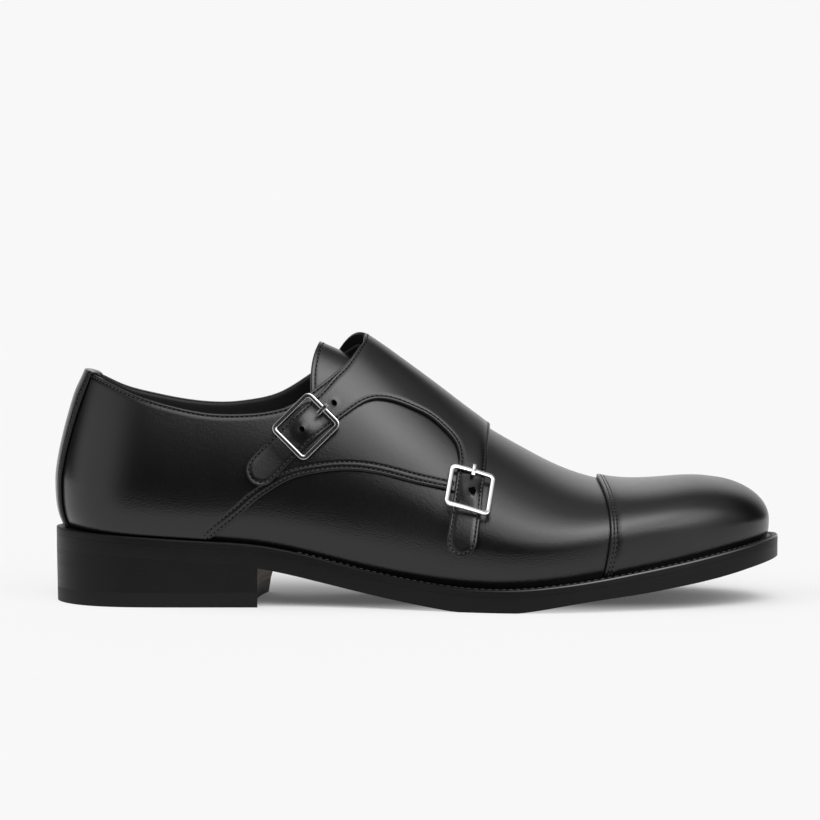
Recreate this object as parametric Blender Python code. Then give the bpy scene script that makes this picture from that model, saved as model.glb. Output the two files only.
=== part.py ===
"""Double monk-strap dress shoe for the right foot, empty and standing on its sole.

Frame: +X points to the toe, +Y to the inner side of the foot, +Z up. The floor is
z = 0 and the outsole's length and width are centred on the origin. The tables are
drawn in millimetres for the sample size and graded to the driving dimensions.

The last is one surface. Each of its ribs starts at the feather line, where upper and
welt meet, swells out, and climbs to the ridge over the middle of the foot. A place
on it is (s, t): s counts millimetres along the feather line from heel to toe, and t
runs across, from -1 at the outer feather line over 0 at the ridge to +1 at the inner
one. Leather pieces are sheets of this surface, each at its own level above it.
"""

import math

import bpy
import numpy as np
from mathutils import Matrix, Vector
from mathutils.geometry import delaunay_2d_cdt

MM = 0.001

# Driving dimensions, in millimetres: the shoe's, then those of the drawn sample size.
OUTSOLE_LENGTH = 303.0
BALL_WIDTH = 107.6
INSTEP_HEIGHT = 111.4
DRAWN = (303.0, 107.6, 111.4)
GRADE = np.array((OUTSOLE_LENGTH, BALL_WIDTH, INSTEP_HEIGHT)) / DRAWN

# Thicknesses and clearances.
GAP = 0.3
LAYER_GAP = 0.6
UPPER_WALL = 2.0
LEATHER = 1.1
STRIP_LEATHER = 0.9
WELT_THICKNESS = 3.0
INSOLE_THICKNESS = 5.8
TOP_PIECE_THICKNESS = 6.0
TONGUE_THICKNESS = 2.0
HEEL_SEAT_HEIGHT = 22.0

# Levels above the last: vamp, quarters and cap, and what lies on the quarters.
QUARTER_LEVEL = LAYER_GAP
STRAP_LEVEL = QUARTER_LEVEL + LEATHER + LAYER_GAP

# The last, heel to toe, one row for each rib: feather line, swell and rise of the
# widest point on the outer and inner side, ridge point, and the wall's fullness.
LAST_ROWS = (
    # x, outer_y, inner_y, outer_swell, inner_swell, outer_rise, inner_rise,
    # ridge_x, ridge_y, side, crown
    (-144.9, 1.5, 1.5, 3.7, 3.7, 19.5, 19.5, -123.7, 1.5, 0.20, 0.41),
    (-142.2, -10.5, 13.5, 3.7, 3.7, 19.4, 19.4, -122.6, 1.5, 0.21, 0.41),
    (-135.1, -20.2, 23.2, 3.6, 3.6, 19.0, 19.0, -118.8, 1.5, 0.25, 0.43),
    (-124.5, -26.0, 29.0, 3.6, 3.6, 18.4, 18.4, -110.5, 1.5, 0.33, 0.45),
    (-108.0, -28.3, 31.0, 3.7, 3.7, 17.6, 17.6, -97.5, 1.5, 0.42, 0.48),
    (-88.0, -28.6, 30.8, 3.8, 4.2, 17.0, 19.0, -81.0, 2.0, 0.48, 0.48),
    (-66.0, -28.6, 28.6, 4.0, 5.5, 18.0, 22.0, -63.0, 2.8, 0.46, 0.46),
    (-44.0, -29.6, 26.3, 4.2, 7.5, 19.0, 26.0, -43.0, 3.6, 0.44, 0.42),
    (-22.0, -32.8, 26.8, 4.2, 8.5, 19.0, 27.0, -22.0, 4.4, 0.42, 0.40),
    (-2.0, -37.6, 30.0, 3.8, 8.0, 18.0, 24.0, -2.0, 5.0, 0.41, 0.40),
    (18.0, -43.3, 35.6, 3.0, 5.5, 16.0, 20.0, 18.0, 5.4, 0.41, 0.42),
    (38.0, -47.3, 42.2, 2.4, 3.6, 14.0, 17.0, 38.0, 5.4, 0.42, 0.45),
    (57.0, -47.8, 46.8, 2.0, 2.6, 13.4, 15.0, 57.0, 4.8, 0.46, 0.50),
    (75.0, -45.2, 47.8, 1.8, 2.0, 13.4, 14.0, 74.0, 4.2, 0.56, 0.58),
    (92.0, -40.6, 45.2, 1.6, 1.7, 13.0, 13.2, 88.0, 4.0, 0.65, 0.64),
    (107.0, -35.6, 41.2, 1.5, 1.5, 12.0, 12.0, 99.5, 4.0, 0.69, 0.64),
    (120.0, -29.2, 35.6, 1.4, 1.4, 10.6, 10.6, 108.5, 4.0, 0.68, 0.62),
    (131.0, -21.8, 28.8, 1.3, 1.3, 9.2, 9.2, 115.5, 4.0, 0.60, 0.58),
    (139.0, -13.6, 21.0, 1.2, 1.2, 7.9, 7.9, 120.5, 4.0, 0.53, 0.55),
    (143.6, -5.2, 13.0, 1.1, 1.1, 7.0, 7.0, 123.5, 4.0, 0.50, 0.54),
    (145.3, 4.0, 4.0, 1.1, 1.1, 7.0, 7.0, 124.5, 4.0, 0.50, 0.54),
)
SWELL_SHARE = 0.22  # share of each rib that lies below its widest point

# Lines along the shoe, seen from the side: (x, z).
RIDGE = (
    (-118, 119), (-90, 124.5), (-60, 124), (-40, 118.8), (-21.6, 109.6), (-7.3, 99.6),
    (9.4, 87.2), (26.2, 74.6), (43, 64.6), (60, 55.9), (72, 51.7), (85, 48.6),
    (100, 49.3), (118, 50.6), (126, 49.8),
)
WELT_TOP = (
    (-151.5, 31.4), (-110, 28.8), (-88, 27.5), (-66, 25.8), (-46, 22.0), (-26, 17.0),
    (-9, 13.4), (5, 11.2), (20, 9.7), (40, 9.6), (54, 10.8), (68, 12.6), (92, 16.5),
    (112, 20.1), (133, 24.2), (151.5, 27.7),
)
SOLE_BOTTOM = (
    (-151.5, 22.4), (-110, 20.0), (-88, 18.4), (-66, 16.2), (-44, 11.6), (-20, 6.1),
    (5, 1.5), (16, 0.0), (28, -0.7), (41, 0.0), (56, 2.3), (68, 4.3), (80, 5.9),
    (95, 7.8), (105, 9.4), (116, 11.2), (127, 13.3), (138, 15.8), (152, 18.9),
)
OUTER_COLLAR = (
    (-146, 96.6), (-138, 96.2), (-129, 92.7), (-118, 87.7), (-107.5, 84.3), (-97.5, 81.8),
    (-87, 79.9), (-73.5, 79.4), (-64.7, 79.9), (-58, 81.0), (-52.9, 82.6), (-43.7, 88.6),
    (-36, 94.3), (-29, 100.2), (-18, 110),
)
INNER_COLLAR = (
    (-146, 96.6), (-138, 96.2), (-126, 89.8), (-113, 85.4), (-99, 82.5), (-90, 81.4),
    (-80, 81.2), (-71, 82.2), (-58, 85.6), (-47.4, 92.0), (-35, 100.6), (-22.6, 109.4),
    (-12, 117),
)
TONGUE_RIDGE = (
    (-46, 111), (-40, 108.2), (-31, 104.2), (-20, 98.4), (-8, 91.6), (5, 83.8),
    (18, 75.0),
)

# How far the sole stands out from the feather line, along its outer and inner side.
WELT_MARGIN = (
    # share of the feather line, outer, inner
    (0.00, 6.6, 6.6), (0.10, 3.6, 3.6), (0.22, 2.8, 2.6), (0.42, 3.0, 2.2),
    (0.55, 5.0, 4.4), (0.68, 6.0, 6.0), (0.85, 6.2, 6.2), (1.00, 6.5, 6.5),
)

# Edges of the leather pieces, seen from the side: (x, z).
CAP_EDGE = ((75.0, 52), (76.4, 49.2), (78.2, 42), (78.8, 34), (78.2, 26), (76.0, 14))
OUTER_SEAM = (
    (-85, 27), (-77, 34.4), (-71.6, 39.7), (-65.5, 45), (-59.4, 49.1), (-51.8, 53.2),
    (-42.7, 55.5), (-34.3, 56.6), (-23.6, 56.6), (-12.2, 54.7), (-0.8, 51.8), (10.5, 49.5), (19.0, 47.6),
)
INNER_SEAM = (
    (29, 66), (22, 58.5), (10, 54), (-8, 54.5), (-28, 56), (-45, 54), (-62, 46),
    (-76, 36), (-85, 28.6),
)
FLAP_BACK = ((-23.4, 106.7), (-27.4, 101.6), (-30.8, 97.3), (-34.4, 93.8), (-38.3, 89.4))
FLAP_ARCH = (
    (-27.5, 80), (-19.4, 84.1), (-9.1, 82.9), (-1.8, 79.9), (3.5, 77.2), (8.7, 73.2),
    (12.9, 69.1), (15.6, 65.1), (16.8, 59.8),
)
FLAP_FRONT = ((28.2, 59.1), (28.8, 66), (29.4, 69.2))
FLAP_RIDGE = (-22.6, 30.0)  # x of the flap's back and front edge on the ridge
THROAT = (160.0, 14.0, 0.13)  # s where the slit starts to close, its length, half width

# Straps and buckles: root and tip of each strap seen from the side, its half width,
# the buckle's middle, its size along and across the strap, and how many degrees it
# rolls about the strap's length.
STRAPS = {
    "upper": dict(root=(-37.1, 81.4), tip=(-68.6, 52.6), half_width=6.4,
                  buckle=(-45.8, 73.7), size=(22.4, 19.9), roll=0.0),
    "lower": dict(root=(22.6, 58.6), tip=(18.2, 23.2), half_width=6.0,
                  buckle=(21.3, 47.2), size=(21.4, 19.5), roll=-8.0),
}
BUCKLE_BAR = (0.95, 0.7)  # half the flat bar's width and thickness
BUCKLE_CORNER = 1.5
BUCKLE_CLEARANCE = 0.5
PRONG = (0.75, 0.6)  # half the prong's width and thickness

BREAST_OUTER_X = -65.8  # front of the heel at the outer side
BREAST_INNER_X = -59.0
BREAST_HOLLOW = 2.5
BREAST_RAKE = 3.5  # how far the inner corner draws back at the floor
BREAST_DEEPER = 0.7
HEEL_TAPER = 0.35


# ---------------------------------------------------------------- curves

def natural_spline(rows):
    """Smooth curve z(x) through a table of points."""
    x, z = np.array(rows, float).T
    step = np.diff(x)
    system = np.eye(len(x))
    right = np.zeros(len(x))
    for i in range(1, len(x) - 1):
        system[i, i - 1:i + 2] = step[i - 1] / 6, (step[i - 1] + step[i]) / 3, step[i] / 6
        right[i] = (z[i + 1] - z[i]) / step[i] - (z[i] - z[i - 1]) / step[i - 1]
    bend = np.linalg.solve(system, right)

    def curve(at, slope=False):
        at = np.asarray(at, float)
        i = np.clip(np.searchsorted(x, at, "right") - 1, 0, len(x) - 2)
        b = (at - x[i]) / step[i]
        a = 1 - b
        if slope:
            turn = (3 * b * b - 1) * bend[i + 1] - (3 * a * a - 1) * bend[i]
            return (z[i + 1] - z[i]) / step[i] + turn * step[i] / 6
        sag = (a ** 3 - a) * bend[i] + (b ** 3 - b) * bend[i + 1]
        return a * z[i] + b * z[i + 1] + sag * step[i] ** 2 / 6

    return curve


def closed_spline(knots, period, values):
    """Smooth closed curve through rows of values, with its slope on request."""
    count = len(knots)
    step = np.diff(np.append(knots, knots[0] + period))
    system = np.zeros((count, count))
    right = np.zeros_like(values)
    for i in range(count):
        before, after = (i - 1) % count, (i + 1) % count
        system[i, before] += step[before] / 6
        system[i, i] += (step[before] + step[i]) / 3
        system[i, after] += step[i] / 6
        right[i] = (values[after] - values[i]) / step[i]
        right[i] -= (values[i] - values[before]) / step[before]
    bend = np.linalg.solve(system, right)

    def curve(at, slope=False):
        at = np.mod(np.asarray(at, float), period)
        i = np.clip(np.searchsorted(knots, at, "right") - 1, 0, count - 1)
        j = (i + 1) % count
        b = ((at - knots[i]) / step[i])[..., None]
        a = 1 - b
        h = step[i][..., None]
        if slope:
            turn = (3 * b * b - 1) * bend[j] - (3 * a * a - 1) * bend[i]
            return (values[j] - values[i]) / h + turn * h / 6
        sag = (a ** 3 - a) * bend[i] + (b ** 3 - b) * bend[j]
        return a * values[i] + b * values[j] + sag * h ** 2 / 6

    return curve


def bezier(p0, p1, p2, p3, at):
    at = at[..., None]
    rest = 1 - at
    return rest ** 3 * p0 + 3 * rest ** 2 * at * p1 + 3 * rest * at ** 2 * p2 + at ** 3 * p3


def smoothstep(value):
    value = np.clip(value, 0, 1)
    return value * value * (3 - 2 * value)


welt_top = natural_spline(WELT_TOP)
ridge = natural_spline(RIDGE)
tongue_ridge = natural_spline(TONGUE_RIDGE)
sole_curve = natural_spline(SOLE_BOTTOM)
outer_collar = natural_spline(OUTER_COLLAR)
inner_collar = natural_spline(INNER_COLLAR)


def sole_bottom(x):
    """Underside of the outsole, with its flat spot under the ball of the foot."""
    return np.maximum(sole_curve(x), 0.0)


# ---------------------------------------------------------------- the last

def feather_steps(rows):
    """Distance between neighbouring ribs, the mean of the outer and inner side."""
    outer = np.hypot(np.diff(rows[:, 0]), np.diff(rows[:, 1]))
    inner = np.hypot(np.diff(rows[:, 0]), np.diff(rows[:, 2]))
    return (outer + inner) / 2


LAST = np.array(LAST_ROWS)
RIB_PLACES = np.concatenate(([0.0], np.cumsum(feather_steps(LAST))))
TOE = RIB_PLACES[-1]  # s at the toe; the loop back along the inner side is as long
OUTER_RIBS = LAST[:, (0, 1, 3, 5, 7, 8, 9, 10)]
INNER_RIBS = LAST[:, (0, 2, 4, 6, 7, 8, 9, 10)]
rib = closed_spline(np.concatenate((RIB_PLACES, (2 * TOE - RIB_PLACES)[-2:0:-1])), 2 * TOE,
                    np.vstack((OUTER_RIBS, INNER_RIBS[-2:0:-1])))


def plan_normal(turn):
    """Outward direction in plan at places along the feather loop."""
    slope = rib(turn, True)
    normal = np.stack((slope[..., 1], -slope[..., 0]), -1)
    return normal / np.linalg.norm(normal, axis=-1, keepdims=True)


def on_last(turn, climb):
    """Points of the last; climb runs from 0 at the feather line to 1 at the ridge."""
    turn, climb = np.broadcast_arrays(np.asarray(turn, float), np.asarray(climb, float))
    row = rib(turn)
    normal = plan_normal(turn)
    swell = normal * row[..., 2:3]
    rise = row[..., 3:4]
    nothing = np.zeros_like(rise)
    foot = np.concatenate((row[..., :2], welt_top(row[..., :1]) + GAP), -1)
    widest = foot + np.concatenate((swell, rise), -1)
    top_z = ridge(row[..., 4:5])
    top = np.concatenate((row[..., 4:6], top_z), -1)
    inward = widest - top
    inward[..., 2:3] = ridge(row[..., 4:5], True) * inward[..., :1]
    low = foot + np.concatenate((swell * 0.75, rise * 0.25), -1)
    below = widest - np.concatenate((nothing, nothing, rise * 0.5), -1)
    height = row[..., 6:7] * (top_z - widest[..., 2:3])
    above = widest + np.concatenate((nothing, nothing, height), -1)
    crown = top + inward * row[..., 7:8]
    lower = bezier(foot, low, below, widest, np.clip(climb / SWELL_SHARE, 0, 1))
    upper_share = np.clip((climb - SWELL_SHARE) / (1 - SWELL_SHARE), 0, 1)
    upper = bezier(widest, above, crown, top, upper_share)
    return np.where((climb < SWELL_SHARE)[..., None], lower, upper)


def last_normal(turn, climb):
    """Outward normals, level with the floor at the feather line."""
    turn, climb = np.broadcast_arrays(np.asarray(turn, float), np.asarray(climb, float))
    near = np.clip(climb, 0.002, 0.998)
    along = on_last(turn + 0.05, near) - on_last(turn - 0.05, near)
    up = on_last(turn, near + 0.002) - on_last(turn, near - 0.002)
    normal = np.cross(along, up)
    normal[..., 2] *= np.clip(climb / SWELL_SHARE, 0, 1)
    return normal / np.linalg.norm(normal, axis=-1, keepdims=True)


def raised(turn, climb, level):
    level = np.asarray(level, float)[..., None]
    return on_last(turn, climb) + last_normal(turn, climb) * level


def loop_place(s, t):
    """(turn, climb) of the place (s, t)."""
    s, t = np.broadcast_arrays(np.asarray(s, float), np.asarray(t, float))
    return np.where(t <= 0, s, 2 * TOE - s), 1 - np.abs(t)


def halve(low, high, too_low, steps=30):
    """Root by halving, for arrays."""
    for _ in range(steps):
        middle = (low + high) / 2
        short = too_low(middle)
        low = np.where(short, middle, low)
        high = np.where(short, high, middle)
    return (low + high) / 2


def place_at_x(x, t):
    """s where the line t of the last reaches x."""
    x, t = np.broadcast_arrays(np.asarray(x, float), np.asarray(t, float))
    return halve(np.zeros(x.shape), np.full(x.shape, TOE),
                 lambda s: on_last(*loop_place(s, t))[..., 0] < x)


def seen_from_side(points, side):
    """(s, t) of the points of the last that are seen at (x, z); side is -1 outer, +1 inner."""
    x, z = np.array(points, float).T

    def too_low(climb):
        t = side * (1 - climb)
        return on_last(*loop_place(place_at_x(x, t), t))[..., 2] < z

    t = side * (1 - halve(np.zeros(x.shape), np.ones(x.shape), too_low))
    return np.stack((place_at_x(x, t), t), -1)


def collar_climb(s, side):
    """Climb of the collar's edge, or of the throat's slit, on each rib."""
    s = np.asarray(s, float)
    collar = outer_collar if side < 0 else inner_collar

    def below_collar(climb):
        point = on_last(*loop_place(s, side * (1 - climb)))
        return point[..., 2] < collar(np.minimum(point[..., 0], -14.0))

    start, length, half_width = THROAT
    closing = np.clip((s - start) / length, 0, 1)
    slit = 1 - half_width * np.sqrt(1 - closing ** 2)
    return np.minimum(halve(np.zeros(s.shape), np.ones(s.shape), below_collar), slit)


# ---------------------------------------------------------------- solids

def welded(points, faces):
    """Merges points that coincide, and drops the corners and faces that vanish."""
    _, first, new = np.unique(np.round(points, 4), axis=0, return_index=True,
                              return_inverse=True)
    new = new.ravel()
    kept = []
    for face in faces:
        corners = [int(new[i]) for i in face]
        corners = [c for i, c in enumerate(corners) if c != corners[i - 1]]
        if len(set(corners)) >= 3:
            kept.append(corners)
    return first, kept


def thick_sheet(outer, inner, faces, weld_by=None):
    """Closed solid between two copies of a sheet, with a wall round its edge."""
    first, faces = welded(outer if weld_by is None else weld_by, faces)
    outer, inner = outer[first], inner[first]
    count = len(outer)
    directed = {(f[i - 1], f[i]) for f in faces for i in range(len(f))}
    solid = list(faces)
    solid += [[c + count for c in reversed(f)] for f in faces]
    solid += [[b, a, a + count, b + count] for a, b in sorted(directed) if (b, a) not in directed]
    return np.concatenate((outer, inner)), solid


def grid_faces(rows, columns):
    return [(r * columns + c, (r + 1) * columns + c, (r + 1) * columns + c + 1,
             r * columns + c + 1) for r in range(rows - 1) for c in range(columns - 1)]


def add_object(name, points, faces, colour, roughness, metallic=0.0, smooth=True):
    """One named object with its own material, in metres and graded to size."""
    mesh = bpy.data.meshes.new(name)
    mesh.from_pydata([tuple(p) for p in points * GRADE * MM], [], faces)
    mesh.validate()
    volume = 0.0
    for polygon in mesh.polygons:
        corners = [mesh.vertices[i].co for i in polygon.vertices]
        for i in range(1, len(corners) - 1):
            volume += corners[0].dot(corners[i].cross(corners[i + 1]))
    if volume < 0:
        mesh.flip_normals()
    material = bpy.data.materials.new(name + "_material")
    material.use_nodes = True
    shader = material.node_tree.nodes["Principled BSDF"]
    shader.inputs["Base Color"].default_value = (*colour, 1.0)
    shader.inputs["Roughness"].default_value = roughness
    shader.inputs["Metallic"].default_value = metallic
    mesh.materials.append(material)
    if smooth:
        mesh.shade_smooth()
        mesh.set_sharp_from_angle(angle=math.radians(35))
    item = bpy.data.objects.new(name, mesh)
    bpy.context.scene.collection.objects.link(item)
    return item


# ---------------------------------------------------------------- leather panels

def inside(points, outline):
    """Even-odd test of points against a closed outline."""
    x, y = points[:, 0, None], points[:, 1, None]
    ax, ay = outline.T
    bx, by = np.roll(outline, -1, axis=0).T
    straddles = (ay > y) != (by > y)
    rise = np.where(by == ay, 1.0, by - ay)
    crossed = straddles & (x < ax + (y - ay) * (bx - ax) / rise)
    return crossed.sum(axis=1) % 2 == 1


def distance_to(points, outline):
    start, end = outline, np.roll(outline, -1, axis=0)
    run = end - start
    share = np.einsum("pij,ij->pi", points[:, None] - start, run) / (run ** 2).sum(axis=1)
    nearest = start + np.clip(share, 0, 1)[..., None] * run
    return np.linalg.norm(points[:, None] - nearest, axis=2).min(axis=1)


GIRTH = 110.0  # length of a typical half rib, which turns t into millimetres
EDGE_TURN = 0.7  # a bent edge gets one more point for each of these turns, in radians


def evenly(points, spacing):
    """The same line with points about one spacing apart, closer where it bends."""
    points = np.asarray(points, float)
    flat = points * (1, GIRTH)
    run = np.concatenate(([0.0], np.cumsum(np.linalg.norm(np.diff(flat, axis=0), axis=1))))
    heading = np.unwrap(np.arctan2(*np.diff(flat, axis=0).T))
    bend = np.abs(np.diff(heading)).sum()
    count = max(2, int(round(run[-1] / spacing + bend / EDGE_TURN)) + 1)
    at = np.linspace(0, run[-1], count)
    return np.stack([np.interp(at, run, points[:, i]) for i in (0, 1)], -1)


def smooth_line(points, density=12):
    """Spline through a few (x, z) or (s, t) points, taken along its own length."""
    points = np.array(points, float)
    run = np.concatenate(([0.0], np.cumsum(np.linalg.norm(np.diff(points, axis=0), axis=1))))
    at = np.linspace(0, run[-1], density * (len(points) - 1) + 1)
    return np.stack([natural_spline(np.stack((run, points[:, i]), -1))(at) for i in (0, 1)], -1)


def filled(edges, spacing):
    """Points (s, t) and triangles that fill the region inside a ring of edge lines."""
    outline = np.vstack([evenly(edge, spacing)[:-1] for edge in edges]) * (1, GIRTH)
    low, high = outline.min(axis=0), outline.max(axis=0)
    step = np.array((spacing, spacing * 0.87)) * 1.15
    columns, rows = np.meshgrid(np.arange(low[0], high[0], step[0]),
                                np.arange(low[1], high[1], step[1]))
    columns = columns + (np.arange(len(rows)) % 2)[:, None] * step[0] / 2
    middle = np.stack((columns.ravel(), rows.ravel()), -1)
    middle = middle[inside(middle, outline)]
    middle = middle[distance_to(middle, outline) > spacing * 0.6]
    points = np.vstack((outline, middle))
    count = len(outline)
    ring = [(i, (i + 1) % count) for i in range(count)]
    vertices, _, faces, *_ = delaunay_2d_cdt([Vector(p) for p in points], ring, [], 1, 1e-5)
    return np.array(vertices) / (1, GIRTH), [list(face) for face in faces]


def add_panel(name, edges, level, spacing, colour, roughness):
    """Leather piece of the last's surface inside a ring of edges, at its level above it."""
    places, faces = filled(edges, spacing)
    turn, climb = loop_place(places[:, 0], places[:, 1])
    height = level(places[:, 0], places[:, 1])
    outer = raised(turn, climb, height + LEATHER)
    inner = raised(turn, climb, height)
    points, solid = thick_sheet(outer, inner, faces)
    return add_object(name, points, solid, colour, roughness)


def strap_edge(root, tip, half_width, side, reach=0.0):
    """One long edge of a strap from root to the start of its round tip."""
    root, tip = np.array(root), np.array(tip)
    along = (tip - root) / np.linalg.norm(tip - root)
    across = np.array((-along[1], along[0])) * side * half_width
    return np.array((root + across + along * reach, tip - along * half_width + across))


def strap_tip(root, tip, half_width, first_side):
    """Round end of a strap, from its first side to the other."""
    root, tip = np.array(root), np.array(tip)
    along = (tip - root) / np.linalg.norm(tip - root)
    across = np.array((-along[1], along[0])) * first_side
    middle = tip - along * half_width
    return np.array([middle + half_width * (math.cos(a) * across + math.sin(a) * along)
                     for a in np.linspace(0, math.pi, 13)])


def flap_level(s, t):
    """The flap lies on the inner quarter's own level, and over the outer quarter."""
    over_foot = smoothstep((0.06 - t) / 0.21)
    front = 1 - 0.85 * smoothstep((s - 186.5) / 8)
    return QUARTER_LEVEL + (STRAP_LEVEL - QUARTER_LEVEL) * over_foot * front


def quarter_level(s, t):
    return np.full(np.shape(s), QUARTER_LEVEL)


# ---------------------------------------------------------------- colours

BLACK_CALF = (0.012, 0.012, 0.013)
LINING = (0.02, 0.018, 0.017)
BURNISHED = (0.01, 0.01, 0.01)
RUBBER = (0.012, 0.012, 0.012)
NATURAL_LEATHER = (0.2, 0.1, 0.05)
STEEL = (0.75, 0.75, 0.77)

BACK_SEAM = 0.4  # half the gap between the quarters at the back
STRIP_HALF_WIDTH = (9.8, 14.5)  # at the sole and at the collar
CLIMB_STEPS = 11
RIB_SPACING = 9.4


# ---------------------------------------------------------------- pieces of the upper

def rib_list():
    """s of the ribs that carry the upper, closer together round heel and toe."""
    ends = np.array((0.0, 4.0, 8.5, 14.0, 20.0, 26.0))
    middle = np.linspace(33.0, TOE - 33.0, int((TOE - 66.0) / RIB_SPACING) + 1)
    return np.concatenate((ends, middle, TOE - ends[::-1]))


def add_upper():
    """Vamp and lining as one hollow wall, open at the collar, the throat and below."""
    ribs = rib_list()
    turns = np.concatenate((ribs, 2 * TOE - ribs[-2::-1]))
    tops = np.concatenate((collar_climb(ribs, -1), collar_climb(ribs[-2::-1], 1)))
    share = np.linspace(0, 1, CLIMB_STEPS + 1)
    climb = tops[:, None] * share
    turn = np.broadcast_to(turns[:, None], climb.shape)
    base = on_last(turn, climb).reshape(-1, 3)
    outer = raised(turn, climb, 0.0).reshape(-1, 3)
    inner = raised(turn, climb, -UPPER_WALL).reshape(-1, 3)
    faces = grid_faces(len(turns), len(share))
    points, solid = thick_sheet(outer, inner, faces, weld_by=base)
    add_object("upper", points, solid, BLACK_CALF, 0.35)


def add_toe_cap():
    """Cap over the toe, on the vamp's own ribs so that the two lie parallel."""
    edge = smooth_line(CAP_EDGE)
    share = np.linspace(0, 1, CLIMB_STEPS + 1)
    share[0] = 0.004
    columns = []
    for side in (-1, 1):
        edge_x = np.interp(-on_last(*loop_place(240.0, side * (1 - share)))[:, 2],
                           -edge[:, 1], edge[:, 0])
        first = place_at_x(edge_x, side * (1 - share))
        ribs = [s for s in rib_list() if s > first.max() + 2]
        side_columns = [first] + [np.full(share.shape, s) for s in ribs]
        columns.append([loop_place(s, side * (1 - share))[0] for s in side_columns])
    turn = np.array(columns[0] + columns[1][-2::-1])
    turn[:, -1] = np.concatenate((turn[:len(columns[0]), -1],
                                  2 * TOE - turn[:len(columns[0]) - 1, -1][::-1]))
    climb = np.broadcast_to(share, turn.shape)
    base = on_last(turn, climb).reshape(-1, 3)
    outer = raised(turn, climb, QUARTER_LEVEL + LEATHER).reshape(-1, 3)
    inner = raised(turn, climb, QUARTER_LEVEL).reshape(-1, 3)
    points, solid = thick_sheet(outer, inner, grid_faces(*turn.shape), weld_by=base)
    add_object("toe_cap", points, solid, BLACK_CALF, 0.3)


def collar_line(side, start, end, count=30):
    s = np.linspace(start, end, count)
    return np.stack((s, side * (1 - collar_climb(s, side))), -1)


def feather_line(side, start, end):
    """Lower edge of a panel, just above the welt."""
    return np.array(((start, side * 0.996), (end, side * 0.996)))


def add_outer_quarter():
    """Quarter with the buckles, from the back seam to under the straps."""
    seam = seen_from_side(smooth_line(OUTER_SEAM), -1)
    seam[0, 1] = -0.996
    top = collar_line(-1, BACK_SEAM, 168.0)
    front = np.vstack((top[-1:], smooth_line(((175.0, -0.22), (181.5, -0.38), seam[-1]))))
    back = np.array(((BACK_SEAM, -0.996), top[0]))
    bottom = feather_line(-1, seam[0, 0], BACK_SEAM)
    edges = (bottom, back, top, front, seam[::-1])
    add_panel("quarter_outer", edges, quarter_level, 6.2, BLACK_CALF, 0.33)


def add_monk_flap():
    """Inner quarter, which runs on over the instep as the flap with its two straps."""
    back_s, front_s = (float(place_at_x(x, 0.0)) for x in FLAP_RIDGE)
    seam = seen_from_side(smooth_line(INNER_SEAM), 1)
    seam[-1, 1] = 0.996
    front_inner = smooth_line(np.vstack(((front_s, 0.0), (front_s - 0.3, 0.10), seam[0])))
    bottom = feather_line(1, seam[-1, 0], BACK_SEAM)
    collar_end = float(seen_from_side([INNER_COLLAR[-3]], 1)[0, 0])
    collar = collar_line(1, BACK_SEAM, collar_end)
    back = np.array(((BACK_SEAM, 0.996), collar[0]))
    top_inner = smooth_line((collar[-1], (back_s - 5.5, 0.14), (back_s, 0.0)))
    upper, lower = STRAPS["upper"], STRAPS["lower"]
    upper_strap = (upper["root"], upper["tip"], upper["half_width"])
    lower_strap = (lower["root"], lower["tip"], lower["half_width"])
    back_edge = np.vstack((smooth_line(FLAP_BACK), strap_edge(*upper_strap, -1, 2.0)))
    upper_tip = strap_tip(*upper_strap, -1)
    arch = smooth_line(np.vstack((strap_edge(*upper_strap, 1, 3.0)[:1], FLAP_ARCH)))
    under = np.vstack((upper_tip[-1:], arch[:1]))
    lower_tip = strap_tip(*lower_strap, -1)
    inner_edge = np.vstack((arch[-1:], lower_tip[:1]))
    outer_edge = np.vstack((lower_tip[-1:], smooth_line(FLAP_FRONT)))
    side_lines = (back_edge, upper_tip, under, arch, inner_edge, lower_tip, outer_edge)
    outer_side = [seen_from_side(line, -1) for line in side_lines]
    outer_side[0] = np.vstack(((back_s, 0.0), outer_side[0]))
    outer_side[-1] = np.vstack((outer_side[-1], (front_s, 0.0)))
    for line, following in zip(outer_side, outer_side[1:]):
        following[0] = line[-1]
    edges = outer_side + [front_inner, seam, bottom, back, collar, top_inner]
    add_panel("quarter_inner_with_straps", edges, flap_level, 4.8, BLACK_CALF, 0.33)


def add_back_strip():
    """Strip over the back seam, from the sole to the collar."""
    side, share = np.meshgrid(np.linspace(-1, 1, 9), np.linspace(0.004, 1, CLIMB_STEPS + 1),
                              indexing="ij")
    turn = side * (STRIP_HALF_WIDTH[0] + np.ptp(STRIP_HALF_WIDTH) * share ** 2)
    top = [collar_climb(np.abs(row), -1 if row[0] > 0 else 1) for row in turn]
    climb = 0.995 * np.array(top) * share
    outer = raised(turn, climb, STRAP_LEVEL + STRIP_LEATHER).reshape(-1, 3)
    inner = raised(turn, climb, STRAP_LEVEL).reshape(-1, 3)
    points, solid = thick_sheet(outer, inner, grid_faces(*climb.shape))
    add_object("back_strip", points, solid, BLACK_CALF, 0.33)


# Tongue: half width and drop of each cross-section, from its free end forward.
TONGUE_ROWS = (
    # x, half_width, drop
    (-42.0, 20.0, 24.0), (-34.0, 20.5, 23.5), (-24.0, 21.0, 23.0), (-12.0, 21.0, 21.0),
    (2.0, 20.5, 18.0), (14.0, 19.0, 13.5),
)
TONGUE_MIDDLE_Y = 4.0


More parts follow.
